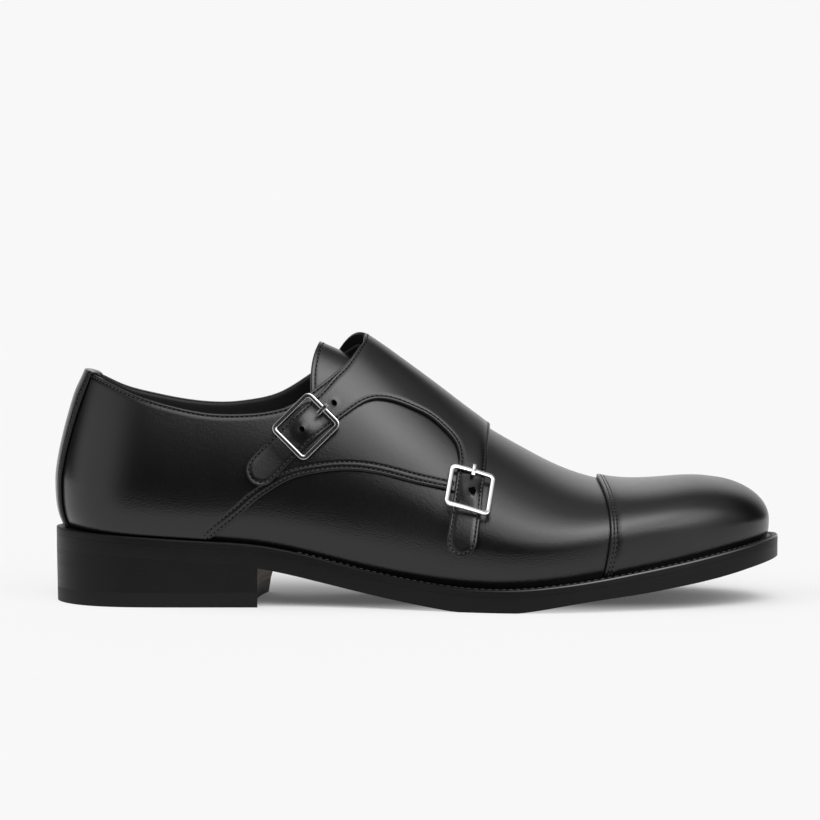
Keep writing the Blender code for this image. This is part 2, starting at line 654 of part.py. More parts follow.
def add_tongue():
    """Tongue under the flap, arched over the instep, its free end round and upright."""
    rows = np.array(TONGUE_ROWS)
    half_width = natural_spline(rows[:, (0, 1)])
    drop = natural_spline(rows[:, (0, 2)])
    across = np.linspace(-1, 1, 13)
    along = np.linspace(0, 1, 9)
    share, side = np.meshgrid(along, across, indexing="ij")
    free_end = rows[0, 0] + 1.2 - 9 * side ** 2 + 6 * side ** 4
    x = free_end + (rows[-1, 0] - free_end) * share
    y = TONGUE_MIDDLE_Y + side * half_width(x)
    z = tongue_ridge(x) - drop(x) * np.abs(side) ** 2.2
    outer = np.stack((x, y, z), -1)
    normal = np.cross(np.gradient(outer, axis=0), np.gradient(outer, axis=1))
    normal /= np.linalg.norm(normal, axis=-1, keepdims=True)
    normal *= np.where(normal[..., 2:] < 0, -1.0, 1.0)
    inner = outer - normal * TONGUE_THICKNESS
    points, solid = thick_sheet(outer.reshape(-1, 3), inner.reshape(-1, 3),
                                grid_faces(*share.shape))
    add_object("tongue", points, solid, BLACK_CALF, 0.4)


# ---------------------------------------------------------------- sole and heel

def sole_edge(s, side, inset=0.0):
    """Plan outline of the sole: the feather line moved out by the welt's margin."""
    s = np.asarray(s, float)
    margins = np.array(WELT_MARGIN)
    margin = natural_spline(margins[:, (0, 1 if side < 0 else 2)])(s / TOE)
    turn = loop_place(s, side * 0.5)[0]
    return rib(turn)[..., :2] + plan_normal(turn) * (margin - inset)[..., None]


def feather_edge(s, side, inset):
    turn = loop_place(np.asarray(s, float), side * 0.5)[0]
    return rib(turn)[..., :2] - plan_normal(turn) * inset


def plan_grid(edge, s, across):
    """Points across the sole between its outer and inner edge."""
    outer, inner = edge(s, -1), edge(s, 1)
    return outer[:, None] + (inner - outer)[:, None] * across[:, None]


def slab(name, plan, bottom, top, colour, roughness):
    """Solid between two heights over a grid in plan, each height a function of x."""
    flat = plan.reshape(-1, 2)
    upper = np.column_stack((flat, top(flat[:, 0])))
    lower = np.column_stack((flat, bottom(flat[:, 0])))
    faces = grid_faces(*plan.shape[:2])
    points, solid = thick_sheet(upper, lower, faces)
    add_object(name, points, solid, colour, roughness)


SOLE_PLACES = 37
SOLE_INSET = 0.2  # the outsole and heel stand this far inside the welt's edge
WELT_INSET = 3.2  # the welt reaches this far under the upper's wall
INSOLE_INSET = 3.7
ACROSS = np.linspace(0, 1, 5)


def sole_places():
    """s values, closer together round heel and toe, with a line at each flat's end."""
    turn = np.linspace(0, math.pi, SOLE_PLACES)
    return TOE * (0.5 - 0.5 * np.cos(turn)) * 0.6 + TOE * 0.4 * turn / math.pi


def outsole_top(x):
    return welt_top(x) - WELT_THICKNESS - GAP


def add_outsole():
    slab("outsole", plan_grid(lambda s, side: sole_edge(s, side, SOLE_INSET), sole_places(), ACROSS),
         sole_bottom, outsole_top, BURNISHED, 0.35)


def add_welt():
    """Strip round the whole sole, from its edge to just inside the upper's wall."""
    s = sole_places()
    loop = np.concatenate((s, (2 * TOE - s)[-2:0:-1]))
    outer = np.vstack((sole_edge(s, -1), sole_edge(s, 1)[-2:0:-1]))
    inner = np.vstack((feather_edge(s, -1, WELT_INSET),
                       feather_edge(s, 1, WELT_INSET)[-2:0:-1]))
    plan = np.stack((outer, inner), 1)
    plan = np.concatenate((plan, plan[:1]))
    if len(loop) + 1 != len(plan):
        raise RuntimeError("welt outline lost a place")
    slab("welt", plan, lambda x: welt_top(x) - WELT_THICKNESS, welt_top, BURNISHED, 0.4)


def add_insole():
    """Insole and filler, inside the welt and the upper's wall."""
    across = np.linspace(0, 1, 3)
    plan = plan_grid(lambda s, side: feather_edge(s, side, INSOLE_INSET), sole_places(), across)
    slab("insole", plan, lambda x: outsole_top(x) + LAYER_GAP,
         lambda x: outsole_top(x) + LAYER_GAP + INSOLE_THICKNESS, LINING, 0.7)


def breast_x(y, low):
    """Front of the heel in plan, slanted and hollow, at the seat (low 0) or the floor (1)."""
    outer_y, inner_y = sole_edge(62.0, -1)[1], sole_edge(62.0, 1)[1]
    share = np.clip((y - outer_y) / (inner_y - outer_y), 0, 1)
    slant = BREAST_OUTER_X + (BREAST_INNER_X - BREAST_OUTER_X - BREAST_RAKE * low) * share
    return slant - (BREAST_HOLLOW + BREAST_DEEPER * low) * 4 * share * (1 - share)


def heel_plan(inset, low):
    """Grid in plan from the heel's back to its breast, at the seat or the floor."""
    across = np.linspace(0, 1, 9)

    def point(s):
        outer, inner = sole_edge(s, -1, inset), sole_edge(s, 1, inset)
        return outer + (inner - outer) * across[:, None]

    end = halve(np.zeros(9), np.full(9, TOE / 2),
                lambda s: point(s)[:, 0] < breast_x(point(s)[:, 1], low))
    share = np.linspace(0, 1, 13) ** 1.3
    return np.stack([point(end * step) for step in share])


def add_heel():
    """Stacked leather lifts under the heel seat, and the rubber top piece on the floor."""
    top_plan = heel_plan(SOLE_INSET, 0.0).reshape(-1, 2)
    bottom_plan = heel_plan(SOLE_INSET + HEEL_TAPER, 1.0).reshape(-1, 2)
    faces = grid_faces(13, 9)
    seat = np.column_stack((top_plan, sole_bottom(top_plan[:, 0]) - GAP))
    share = (TOP_PIECE_THICKNESS + GAP) / HEEL_SEAT_HEIGHT
    cut = bottom_plan + (top_plan - bottom_plan) * share
    joint = np.column_stack((cut, np.full(len(cut), TOP_PIECE_THICKNESS + GAP)))
    points, solid = thick_sheet(seat, joint, faces)
    add_object("heel_stack", points, solid, NATURAL_LEATHER, 0.45)
    upper = np.column_stack((cut, np.full(len(cut), TOP_PIECE_THICKNESS)))
    lower = np.column_stack((bottom_plan, np.zeros(len(bottom_plan))))
    points, solid = thick_sheet(upper, lower, faces)
    add_object("heel_top_piece", points, solid, RUBBER, 0.6)


# ---------------------------------------------------------------- buckles

def strap_frame(strap, level):
    """Frame on the strap: x along it to the tip, y across it, z away from the shoe."""
    s, t = seen_from_side([strap["buckle"]], -1)[0]
    turn, climb = loop_place(s, t)
    along = np.array(strap["tip"]) - strap["root"]
    ahead = seen_from_side([np.array(strap["buckle"]) + along / np.linalg.norm(along)], -1)[0]
    middle = raised(turn, climb, level)
    step = raised(*loop_place(*ahead), level) - middle
    out = Vector(last_normal(turn, climb))
    forward = Vector(step)
    forward = (forward - out * forward.dot(out)).normalized()
    sideways = out.cross(forward)
    frame = Matrix((forward, sideways, out)).transposed().to_4x4()
    frame.translation = Vector(middle)
    return frame


def rounded_rectangle(length, width, corner, steps=3):
    """Points round a rectangle with round corners, anticlockwise."""
    points = []
    for quarter in range(4):
        sign_x = 1 if quarter in (0, 3) else -1
        sign_y = 1 if quarter in (0, 1) else -1
        for step in range(steps + 1):
            angle = math.pi / 2 * (quarter + step / steps)
            points.append((sign_x * (length / 2 - corner) + corner * math.cos(angle),
                           sign_y * (width / 2 - corner) + corner * math.sin(angle)))
    return np.array(points)


def bar(path, half_size, sides, closed):
    """Solid oval bar along a path in 3-D, closed in a ring or with flat ends."""
    path = np.asarray(path, float)
    if closed:
        heading = np.roll(path, -1, axis=0) - np.roll(path, 1, axis=0)
    else:
        heading = np.gradient(path, axis=0)
    heading /= np.linalg.norm(heading, axis=1, keepdims=True)
    side = np.cross(heading, (0.0, 0.0, 1.0))
    side /= np.linalg.norm(side, axis=1, keepdims=True)
    lift = np.cross(side, heading)
    angle = np.linspace(0, 2 * math.pi, sides, endpoint=False)
    width, height = half_size
    ring = side[:, None] * width * np.cos(angle)[:, None]
    ring = ring + lift[:, None] * height * np.sin(angle)[:, None]
    points = (path[:, None] + ring).reshape(-1, 3)
    count = len(path)
    faces = []
    for i in range(count if closed else count - 1):
        for k in range(sides):
            a, b = i * sides + k, i * sides + (k + 1) % sides
            c, d = (i + 1) % count * sides + k, (i + 1) % count * sides + (k + 1) % sides
            faces.append((a, b, d, c))
    if not closed:
        faces.append(tuple(range(sides))[::-1])
        faces.append(tuple(range((count - 1) * sides, count * sides)))
    return points, faces


def place_in(frame, points):
    return np.array([frame @ Vector(p) for p in points])


def add_buckle(which, strap):
    """Frame of flat bar over the strap, and the prong that lies across its back bar."""
    width, thickness = BUCKLE_BAR
    frame = strap_frame(strap, STRAP_LEVEL + LEATHER + BUCKLE_CLEARANCE + thickness)
    frame = frame @ Matrix.Rotation(math.radians(strap["roll"]), 4, "X")
    outline = rounded_rectangle(*(size - 2 * width for size in strap["size"]), BUCKLE_CORNER)
    ring = np.column_stack((outline, np.zeros(len(outline))))
    points, faces = bar(ring, BUCKLE_BAR, 8, True)
    add_object("buckle_" + which, place_in(frame, points), faces, STEEL, 0.12, 1.0)
    back = width - strap["size"][0] / 2
    reach = thickness + PRONG[1] + GAP
    path = np.array(((back + 2.6, 0, reach * 0.9), (back, 0, reach), (back - 2.2, 0, reach * 0.8)))
    points, faces = bar(path, PRONG, 8, False)
    add_object("prong_" + which, place_in(frame, points), faces, STEEL, 0.12, 1.0)


def main():
    for item in list(bpy.data.objects):
        bpy.data.objects.remove(item, do_unlink=True)
    add_outsole()
    add_welt()
    add_insole()
    add_heel()
    add_upper()
    add_toe_cap()
    add_outer_quarter()
    add_monk_flap()
    add_back_strip()
    add_tongue()
    for which, strap in STRAPS.items():
        add_buckle(which, strap)


main()
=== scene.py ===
"""Double monk-strap dress shoe for the right foot, dressed in leather, thread and steel.

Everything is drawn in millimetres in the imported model's own frame: +X to the toe, +Y to
the inner side of the foot, +Z up, floor at z = 0. A place on the last is (s, t): s runs
along the feather line from heel to toe, t across from -1 at the outer feather line over
0 at the ridge to +1 at the inner one.
"""

import math

import bpy
import numpy as np
from bpy.props import FloatProperty, FloatVectorProperty, IntProperty, PointerProperty
from mathutils import Matrix, Vector
from mathutils.geometry import delaunay_2d_cdt


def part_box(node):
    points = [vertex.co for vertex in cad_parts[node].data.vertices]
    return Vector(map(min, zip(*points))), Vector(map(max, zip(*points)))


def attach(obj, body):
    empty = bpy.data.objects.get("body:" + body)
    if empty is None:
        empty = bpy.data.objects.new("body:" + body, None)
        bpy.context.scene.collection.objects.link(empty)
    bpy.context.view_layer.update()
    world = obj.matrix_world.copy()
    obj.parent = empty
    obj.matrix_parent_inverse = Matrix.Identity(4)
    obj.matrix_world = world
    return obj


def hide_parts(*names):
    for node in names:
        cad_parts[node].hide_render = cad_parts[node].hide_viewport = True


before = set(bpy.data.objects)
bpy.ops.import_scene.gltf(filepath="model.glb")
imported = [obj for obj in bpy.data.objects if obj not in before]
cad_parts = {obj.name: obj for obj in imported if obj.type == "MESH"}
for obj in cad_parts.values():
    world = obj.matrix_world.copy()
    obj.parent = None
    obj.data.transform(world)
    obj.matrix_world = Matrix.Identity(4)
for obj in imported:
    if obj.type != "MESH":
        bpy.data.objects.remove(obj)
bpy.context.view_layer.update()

bl_info = {
    "name": "Double monk-strap shoe",
    "version": (1, 0, 0),
    "blender": (4, 5, 0),
    "location": "3D View > Sidebar > Shoe",
    "description": "Builds a cap-toe dress shoe with two buckled straps, piece by piece",
    "category": "Object",
}

MM = 0.001
DRAWN_WELT = (303.3, 107.95)  # length and width of the welt in the sample size
DRAWN_TOP = 112.31  # height of the flap, the highest leather of the sample


def graded():
    """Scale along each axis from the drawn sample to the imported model."""
    low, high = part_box("welt")
    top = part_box("quarter_inner_with_straps")[1][2]
    return np.array(((high[0] - low[0]) / MM / DRAWN_WELT[0],
                     (high[1] - low[1]) / MM / DRAWN_WELT[1], top / MM / DRAWN_TOP))


GRADE = graded()

# Thicknesses, and levels above the last, in millimetres.
GAP = 0.3  # between the welt and the last
LEATHER = 1.4
QUARTER_TOP = 1.7
STRAP_TOP = 3.4
UPPER_WALL = 2.0
UPPER_RIM = 1.0  # rounding of the vamp's rim at collar and throat
WELT_THICKNESS = 3.0
INSOLE_THICKNESS = 5.8
SOCK_THICKNESS = 0.6
TOP_PIECE_THICKNESS = 6.0
TONGUE_THICKNESS = 2.0
HEEL_SEAT_HEIGHT = 22.0
SOLE_JOINT = 0.08  # between welt and outsole
LIFT_JOINT = 0.02  # above and below the heel's stack
INSOLE_JOINT = 0.1  # between outsole and insole
INSOLE_INSET = 1.9  # how far the insole stands back from the feather line
INSOLE_DISH = 1.2  # how much higher the sock lies at its sides than along its middle

# The last, heel to toe, one row for each rib: feather line, swell and rise of the
# widest point on the outer and inner side, ridge point, and the wall's fullness.
LAST_ROWS = (
    # x, outer_y, inner_y, outer_swell, inner_swell, outer_rise, inner_rise,
    # ridge_x, ridge_y, side, crown
    (-144.9, 1.5, 1.5, 3.7, 3.7, 19.5, 19.5, -123.7, 1.5, 0.20, 0.41),
    (-142.2, -10.5, 13.5, 3.7, 3.7, 19.4, 19.4, -122.6, 1.5, 0.21, 0.41),
    (-135.1, -20.2, 23.2, 3.6, 3.6, 19.0, 19.0, -118.8, 1.5, 0.25, 0.43),
    (-124.5, -26.0, 29.0, 3.6, 3.6, 18.4, 18.4, -110.5, 1.5, 0.33, 0.45),
    (-108.0, -28.3, 31.0, 3.7, 3.7, 17.6, 17.6, -97.5, 1.5, 0.42, 0.48),
    (-88.0, -28.6, 30.8, 3.8, 4.2, 17.0, 19.0, -81.0, 2.0, 0.48, 0.48),
    (-66.0, -28.6, 28.6, 4.0, 5.5, 18.0, 22.0, -63.0, 2.8, 0.46, 0.46),
    (-44.0, -29.6, 26.3, 4.2, 7.5, 19.0, 26.0, -43.0, 3.6, 0.44, 0.42),
    (-22.0, -32.8, 26.8, 4.2, 8.5, 19.0, 27.0, -22.0, 4.4, 0.42, 0.40),
    (-2.0, -37.6, 30.0, 3.8, 8.0, 18.0, 24.0, -2.0, 5.0, 0.41, 0.40),
    (18.0, -43.3, 35.6, 3.0, 5.5, 16.0, 20.0, 18.0, 5.4, 0.41, 0.42),
    (38.0, -47.3, 42.2, 2.4, 3.6, 14.0, 17.0, 38.0, 5.4, 0.42, 0.45),
    (57.0, -47.8, 46.8, 2.0, 2.6, 13.4, 15.0, 57.0, 4.8, 0.46, 0.50),
    (75.0, -45.2, 47.8, 1.8, 2.0, 13.4, 14.0, 74.0, 4.2, 0.56, 0.58),
    (92.0, -40.6, 45.2, 1.6, 1.7, 13.0, 13.2, 88.0, 4.0, 0.65, 0.64),
    (107.0, -35.6, 41.2, 1.5, 1.5, 12.0, 12.0, 99.5, 4.0, 0.69, 0.64),
    (120.0, -29.2, 35.6, 1.4, 1.4, 10.6, 10.6, 108.5, 4.0, 0.68, 0.62),
    (131.0, -21.8, 28.8, 1.3, 1.3, 9.2, 9.2, 115.5, 4.0, 0.60, 0.58),
    (139.0, -13.6, 21.0, 1.2, 1.2, 7.9, 7.9, 120.5, 4.0, 0.53, 0.55),
    (143.6, -5.2, 13.0, 1.1, 1.1, 7.0, 7.0, 123.5, 4.0, 0.50, 0.54),
    (145.3, 4.0, 4.0, 1.1, 1.1, 7.0, 7.0, 124.5, 4.0, 0.50, 0.54),
)
SWELL_SHARE = 0.22  # share of each rib that lies below its widest point

# Lines along the shoe, seen from the side: (x, z).
RIDGE = (
    (-118, 119), (-90, 124.5), (-60, 124), (-40, 118.8), (-21.6, 109.6), (-7.3, 99.6),
    (9.4, 87.2), (26.2, 74.6), (43, 64.6), (60, 55.9), (72, 51.7), (85, 49.3),
    (100, 49.4), (118, 50.5), (126, 49.8),
)
WELT_TOP = (
    (-151.5, 31.4), (-110, 28.8), (-88, 27.5), (-66, 25.8), (-46, 22.0), (-26, 17.0),
    (-9, 13.4), (5, 11.2), (20, 9.7), (40, 9.6), (54, 10.8), (68, 12.6), (92, 16.5),
    (112, 20.1), (133, 24.2), (151.5, 27.7),
)
SOLE_BOTTOM = (
    (-151.5, 22.4), (-110, 20.0), (-88, 18.4), (-66, 16.2), (-44, 11.6), (-20, 6.1),
    (5, 1.5), (16, 0.0), (28, -0.7), (41, 0.0), (56, 2.3), (68, 4.3), (80, 5.9),
    (95, 7.8), (105, 9.4), (116, 11.2), (127, 13.3), (138, 15.8), (152, 18.9),
)
OUTER_COLLAR = (
    (-146, 96.6), (-138, 96.2), (-129, 92.7), (-118, 87.7), (-107.5, 84.3), (-97.5, 81.8),
    (-87, 79.9), (-73.5, 79.4), (-64.7, 79.9), (-58, 81.0), (-52.9, 82.6), (-43.7, 88.6),
    (-36, 94.3), (-29, 100.2), (-18, 110),
)
INNER_COLLAR = (
    (-146, 96.6), (-138, 96.2), (-126, 89.8), (-113, 85.4), (-99, 82.5), (-90, 81.4),
    (-80, 81.2), (-71, 82.2), (-58, 85.6), (-47.4, 92.0), (-35, 100.6), (-22.6, 109.4),
    (-12, 117),
)
TONGUE_RIDGE = (
    (-46, 111), (-40, 108.2), (-31, 104.2), (-20, 98.4), (-8, 91.6), (5, 83.8),
    (18, 75.0),
)

# How far the sole stands out from the feather line, along its outer and inner side.
WELT_MARGIN = (
    # share of the feather line, outer, inner
    (0.00, 6.6, 6.6), (0.10, 3.6, 3.6), (0.22, 2.8, 2.6), (0.42, 3.0, 2.2),
    (0.55, 5.0, 4.4), (0.68, 6.0, 6.0), (0.85, 6.2, 6.2), (1.00, 6.5, 6.5),
)

# Edges of the leather pieces, seen from the side: (x, z).
CAP_EDGE = ((75.0, 52), (76.4, 49.2), (78.2, 42), (78.8, 34), (78.2, 26), (76.0, 14))
OUTER_SEAM = (
    (-86.8, 27), (-77.8, 34.4), (-71.6, 39.7), (-65.5, 45), (-59.4, 49.1), (-51.8, 53.2),
    (-42.7, 55.5), (-34.3, 56.6), (-23.6, 56.6), (-12.2, 54.7), (-0.8, 51.8), (10.5, 49.5),
    (19.0, 47.6),
)
INNER_SEAM = (
    (29, 66), (22, 58.5), (10, 54), (-8, 54.5), (-28, 56), (-45, 54), (-62, 46),
    (-76, 36), (-85, 28.6),
)
FLAP_BACK = ((-23.4, 106.7), (-27.4, 101.6), (-30.8, 97.3), (-34.4, 93.8), (-38.3, 89.4))
FLAP_ARCH = (
    (-27.5, 80), (-19.4, 84.1), (-9.1, 82.9), (-1.8, 79.9), (3.5, 77.2), (8.7, 73.2),
    (12.9, 69.1), (15.6, 65.1), (16.8, 59.8),
)
FLAP_FRONT = ((28.2, 59.1), (28.8, 66), (29.4, 69.2))
FLAP_RIDGE = (-22.6, 30.0)  # x of the flap's back and front edge on the ridge
FLAP_CROSSING = (0.06, 0.21)  # t where it starts to climb over the outer quarter, and width
FLAP_FRONT_SINKS = (0.85, 186.5, 8.0)  # how much of that climb, from which s, over what s
COLLAR_END = 168.0  # s where the outer quarter's top edge ends, hidden under the flap
QUARTER_FRONT = ((175.0, -0.22), (181.5, -0.38))  # (s, t) down its hidden front edge
THROAT = (160.0, 14.0, 0.13)  # s where the slit starts to close, its length, half width
THROAT_X = -14.0  # the collar runs on level in front of this x

# Straps and buckles: root and tip of each strap seen from the side, its half width, the
# buckle's middle, its size along and across the strap, how many degrees it rolls about
# the strap's length and dips towards the strap's tip, and how far the free end springs off.
STRAPS = {
    "upper": dict(root=(-37.1, 81.4), tip=(-68.6, 52.6), half_width=6.4,
                  buckle=(-45.8, 73.7), size=(22.4, 19.9), roll=0.0, dip=6.5, curl=1.6),
    "lower": dict(root=(22.6, 58.6), tip=(18.2, 23.2), half_width=6.0,
                  buckle=(21.3, 47.2), size=(21.4, 19.5), roll=-11.0, dip=-9.5,
                  curl=2.7),
}
BUCKLE_BAR = (0.95, 0.6)  # half the flat bar's width and thickness
BAR_SQUARENESS = 0.42  # 1 is an oval bar, 0 a square one
BUCKLE_CORNER = 1.9
BUCKLE_CLEARANCE = 0.7
BUCKLE_BOW = 0.3  # how far the frame's middle rises above its sides
PRONG = (0.85, 0.5)  # half the prong's width and thickness
STRAP_ARCH = 1.2  # how far a strap arches up in its buckle
ARCH_REACH = 8.5  # how far from the buckle's middle the strap arches
CURL_LENGTH = 15.0
CURL_HALF_WIDTH = 12.0
STRAP_HOLES = (((-34.4, 83.1), 1.05), ((-47.4, 72.8), 1.0), ((22.3, 47.1), 1.45))
HOLE_DEPTH = 1.1
HOLE_RIM = 0.1  # how far the leather swells round a hole

BREAST_S = 62.0  # where the sole's width under the breast is measured
BREAST_OUTER_X = -65.8  # front of the heel at the outer side
BREAST_INNER_X = -59.0
BREAST_HOLLOW = 2.5
BREAST_RAKE = 3.5  # how far the inner corner draws back at the floor
BREAST_DEEPER = 0.7  # how much deeper the hollow is at the floor
HEEL_TAPER = 0.35
SOLE_INSET = 0.04  # how far outsole and heel stand back under the welt
LIFT = 4.0  # thickness of one lift of the stacked heel

FEATHER = 0.9985  # t of the panels' lower edges, down in the welt's crease
BACK_SEAM = 0.4  # half the gap between the quarters at the back
STRIP_HALF_WIDTH = (9.8, 17.0)  # at the sole and at the collar
STRIP_LEATHER = 1.1
STRIP_TOP = STRAP_TOP - 0.2
STRIP_ROW = 1.1  # distance of the strip's stitches from its edge
STRIP_GROOVE = 0.14  # how deep the strip's stitches press in
FOLD_RISE = 0.9  # how far the strip's fold stands above the collar
FOLD_DEPTHS = (1.5, 3.5, 6.0)  # how deep the fold goes down inside the shoe
SHOULDER = 0.9  # how much the strip thins towards its fold
SHOULDER_FROM = 0.86  # share of the strip's height where it starts to thin
CAP_ROWS = (1.4, 2.7)
WELT_ROW = 2.6  # distance of the welt's stitches from its edge
WELT_THREAD = 0.36  # radius of its thread
WELT_GROOVE = 0.3  # depth of the groove for it
WELT_SUNK = 0.2  # how deep the thread lies in that groove
WELT_INNER = (0.4, 2.4)  # the welt's last rings, in from the feather line
WELT_RIM = 0.8  # rounding of the welt's upper edge
WELT_RIM_RINGS = 5  # rings of points over that rounding
WELT_WAXED_FROM = 5.0  # in front of this x the rounding is rubbed to a shine
WAX_FADE = 60.0  # length over which the shine builds up
WELT_STITCHED_FROM = -50.0
TONGUE_ROWS = (
    # x, half_width, drop
    (-42.0, 20.0, 24.0), (-34.0, 20.5, 23.5), (-24.0, 21.0, 23.0), (-12.0, 21.0, 21.0),
    (2.0, 20.5, 18.0), (14.0, 19.0, 13.5),
)
TONGUE_MIDDLE_Y = 4.0
TONGUE_LENGTH = 56.0  # as its rings are spaced
TONGUE_ROW = 1.7  # distance of its stitches from the free end
TONGUE_GROOVE = 0.15  # how deep they press in
CAMERA_AIM = (-2.935, 0.0, 79.75)

# The stage, in metres. The near floor, an oval under the shoe, is lit by the studio; the
# far floor round it mostly glows by itself.
FLOOR_SIZE = 6.0
FLOOR_FRONT = 0.23  # the floor ends this far in front of the shoe
NEAR_MIDDLE = (0.03, 0.045)
NEAR_HALF_LENGTH = 0.075  # of the oval's straight part
NEAR_EDGE = (0.055, 0.12)  # distances from it between which near turns into far
NEAR_SHARE = 0.91  # share of the floor's tone that the studio's light gives near the shoe
FAR_SHARE = 0.12  # and how much of that share is left far out


# ---------------------------------------------------------------- curves

def cubic(knots, step, values, bend, at, slope):
    """Value or slope of a spline at places, from the values and bends at its knots."""
    i = np.clip(np.searchsorted(knots, at, "right") - 1, 0, len(step) - 1)
    j = (i + 1) % len(values)
    b, h = (at - knots[i]) / step[i], step[i]
    if values.ndim > 1:
        b, h = b[..., None], h[..., None]
    a = 1 - b
    if slope:
        turn = (3 * b * b - 1) * bend[j] - (3 * a * a - 1) * bend[i]
        return (values[j] - values[i]) / h + turn * h / 6
    sag = (a ** 3 - a) * bend[i] + (b ** 3 - b) * bend[j]
    return a * values[i] + b * values[j] + sag * h ** 2 / 6


def natural_spline(rows):
    """Smooth curve z(x) through a table of points, with its slope on request."""
    x, z = np.array(rows, float).T
    step = np.diff(x)
    system = np.eye(len(x))
    right = np.zeros(len(x))
    for i in range(1, len(x) - 1):
        system[i, i - 1:i + 2] = step[i - 1] / 6, (step[i - 1] + step[i]) / 3, step[i] / 6
        right[i] = (z[i + 1] - z[i]) / step[i] - (z[i] - z[i - 1]) / step[i - 1]
    bend = np.linalg.solve(system, right)

    return lambda at, slope=False: cubic(x, step, z, bend, np.asarray(at, float), slope)


def closed_spline(knots, period, values):
    """Smooth closed curve through rows of values, with its slope on request."""
    count = len(knots)
    step = np.diff(np.append(knots, knots[0] + period))
    system = np.zeros((count, count))
    right = np.zeros_like(values)
    for i in range(count):
        before, after = (i - 1) % count, (i + 1) % count
        system[i, before] += step[before] / 6
        system[i, i] += (step[before] + step[i]) / 3
        system[i, after] += step[i] / 6
        right[i] = (values[after] - values[i]) / step[i]
        right[i] -= (values[i] - values[before]) / step[before]
    bend = np.linalg.solve(system, right)
    return lambda at, slope=False: cubic(knots, step, values, bend,
                                         np.mod(np.asarray(at, float), period), slope)


def bezier(p0, p1, p2, p3, at):
    at = at[..., None]
    rest = 1 - at
    return rest ** 3 * p0 + 3 * rest ** 2 * at * p1 + 3 * rest * at ** 2 * p2 + at ** 3 * p3


def smoothstep(value):
    value = np.clip(value, 0, 1)
    return value * value * (3 - 2 * value)


def unit(vectors):
    return vectors / np.linalg.norm(vectors, axis=-1, keepdims=True)


def run_along(points):
    """Distance of each point from the first one, along the line."""
    return np.concatenate(([0.0], np.cumsum(np.linalg.norm(np.diff(points, axis=0), axis=1))))


def rounded_edge(away, depth):
    """How far a cut edge's rounding drops at a distance from the edge."""
    return depth * (1 - np.sqrt(1 - np.clip(1 - away / EDGE_ROUNDING, 0, 1) ** 2))


welt_top = natural_spline(WELT_TOP)
ridge = natural_spline(RIDGE)
tongue_ridge = natural_spline(TONGUE_RIDGE)
sole_curve = natural_spline(SOLE_BOTTOM)
outer_collar = natural_spline(OUTER_COLLAR)
inner_collar = natural_spline(INNER_COLLAR)


def sole_bottom(x):
    """Underside of the outsole, with its flat spot under the ball of the foot."""
    return np.maximum(sole_curve(x), 0.0)


# ---------------------------------------------------------------- the last

def feather_steps(rows):
    """Distance between neighbouring ribs, the mean of the outer and inner side."""
    outer = np.hypot(np.diff(rows[:, 0]), np.diff(rows[:, 1]))
    inner = np.hypot(np.diff(rows[:, 0]), np.diff(rows[:, 2]))
    return (outer + inner) / 2


LAST = np.array(LAST_ROWS)
RIB_PLACES = np.concatenate(([0.0], np.cumsum(feather_steps(LAST))))
TOE = RIB_PLACES[-1]  # s at the toe; the loop back along the inner side is as long
OUTER_RIBS = LAST[:, (0, 1, 3, 5, 7, 8, 9, 10)]
INNER_RIBS = LAST[:, (0, 2, 4, 6, 7, 8, 9, 10)]
rib = closed_spline(np.concatenate((RIB_PLACES, (2 * TOE - RIB_PLACES)[-2:0:-1])), 2 * TOE,
                    np.vstack((OUTER_RIBS, INNER_RIBS[-2:0:-1])))


def plan_normal(turn):
    """Outward direction in plan at places along the feather loop."""
    slope = rib(turn, True)
    return unit(np.stack((slope[..., 1], -slope[..., 0]), -1))


def on_last(turn, climb):
    """Points of the last; climb runs from 0 at the feather line to 1 at the ridge."""
    turn, climb = np.broadcast_arrays(np.asarray(turn, float), np.asarray(climb, float))
    row = rib(turn)
    normal = plan_normal(turn)
    swell = normal * row[..., 2:3]
    rise = row[..., 3:4]
    nothing = np.zeros_like(rise)
    foot = np.concatenate((row[..., :2], welt_top(row[..., :1]) + GAP), -1)
    widest = foot + np.concatenate((swell, rise), -1)
    top_z = ridge(row[..., 4:5])
    top = np.concatenate((row[..., 4:6], top_z), -1)
    inward = widest - top
    inward[..., 2:3] = ridge(row[..., 4:5], True) * inward[..., :1]
    low = foot + np.concatenate((swell * 0.75, rise * 0.25), -1)
    below = widest - np.concatenate((nothing, nothing, rise * 0.5), -1)
    height = row[..., 6:7] * (top_z - widest[..., 2:3])
    above = widest + np.concatenate((nothing, nothing, height), -1)
    crown = top + inward * row[..., 7:8]
    lower = bezier(foot, low, below, widest, np.clip(climb / SWELL_SHARE, 0, 1))
    upper_share = np.clip((climb - SWELL_SHARE) / (1 - SWELL_SHARE), 0, 1)
    upper = bezier(widest, above, crown, top, upper_share)
    return np.where((climb < SWELL_SHARE)[..., None], lower, upper)


def last_normal(turn, climb):
    """Outward normals, level with the floor at the feather line."""
    turn, climb = np.broadcast_arrays(np.asarray(turn, float), np.asarray(climb, float))
    near = np.clip(climb, 0.002, 0.998)
    along = on_last(turn + 0.05, near) - on_last(turn - 0.05, near)
    up = on_last(turn, near + 0.002) - on_last(turn, near - 0.002)
    normal = np.cross(along, up)
    normal[..., 2] *= np.clip(climb / SWELL_SHARE, 0, 1)
    return unit(normal)


def raised(turn, climb, level):
    """Points at a level above the last."""
    level = np.asarray(level, float)[..., None]
    return on_last(turn, climb) + last_normal(turn, climb) * level


def loop_place(s, t):
    """(turn, climb) of the place (s, t)."""
    s, t = np.broadcast_arrays(np.asarray(s, float), np.asarray(t, float))
    return np.where(t <= 0, s, 2 * TOE - s), 1 - np.abs(t)


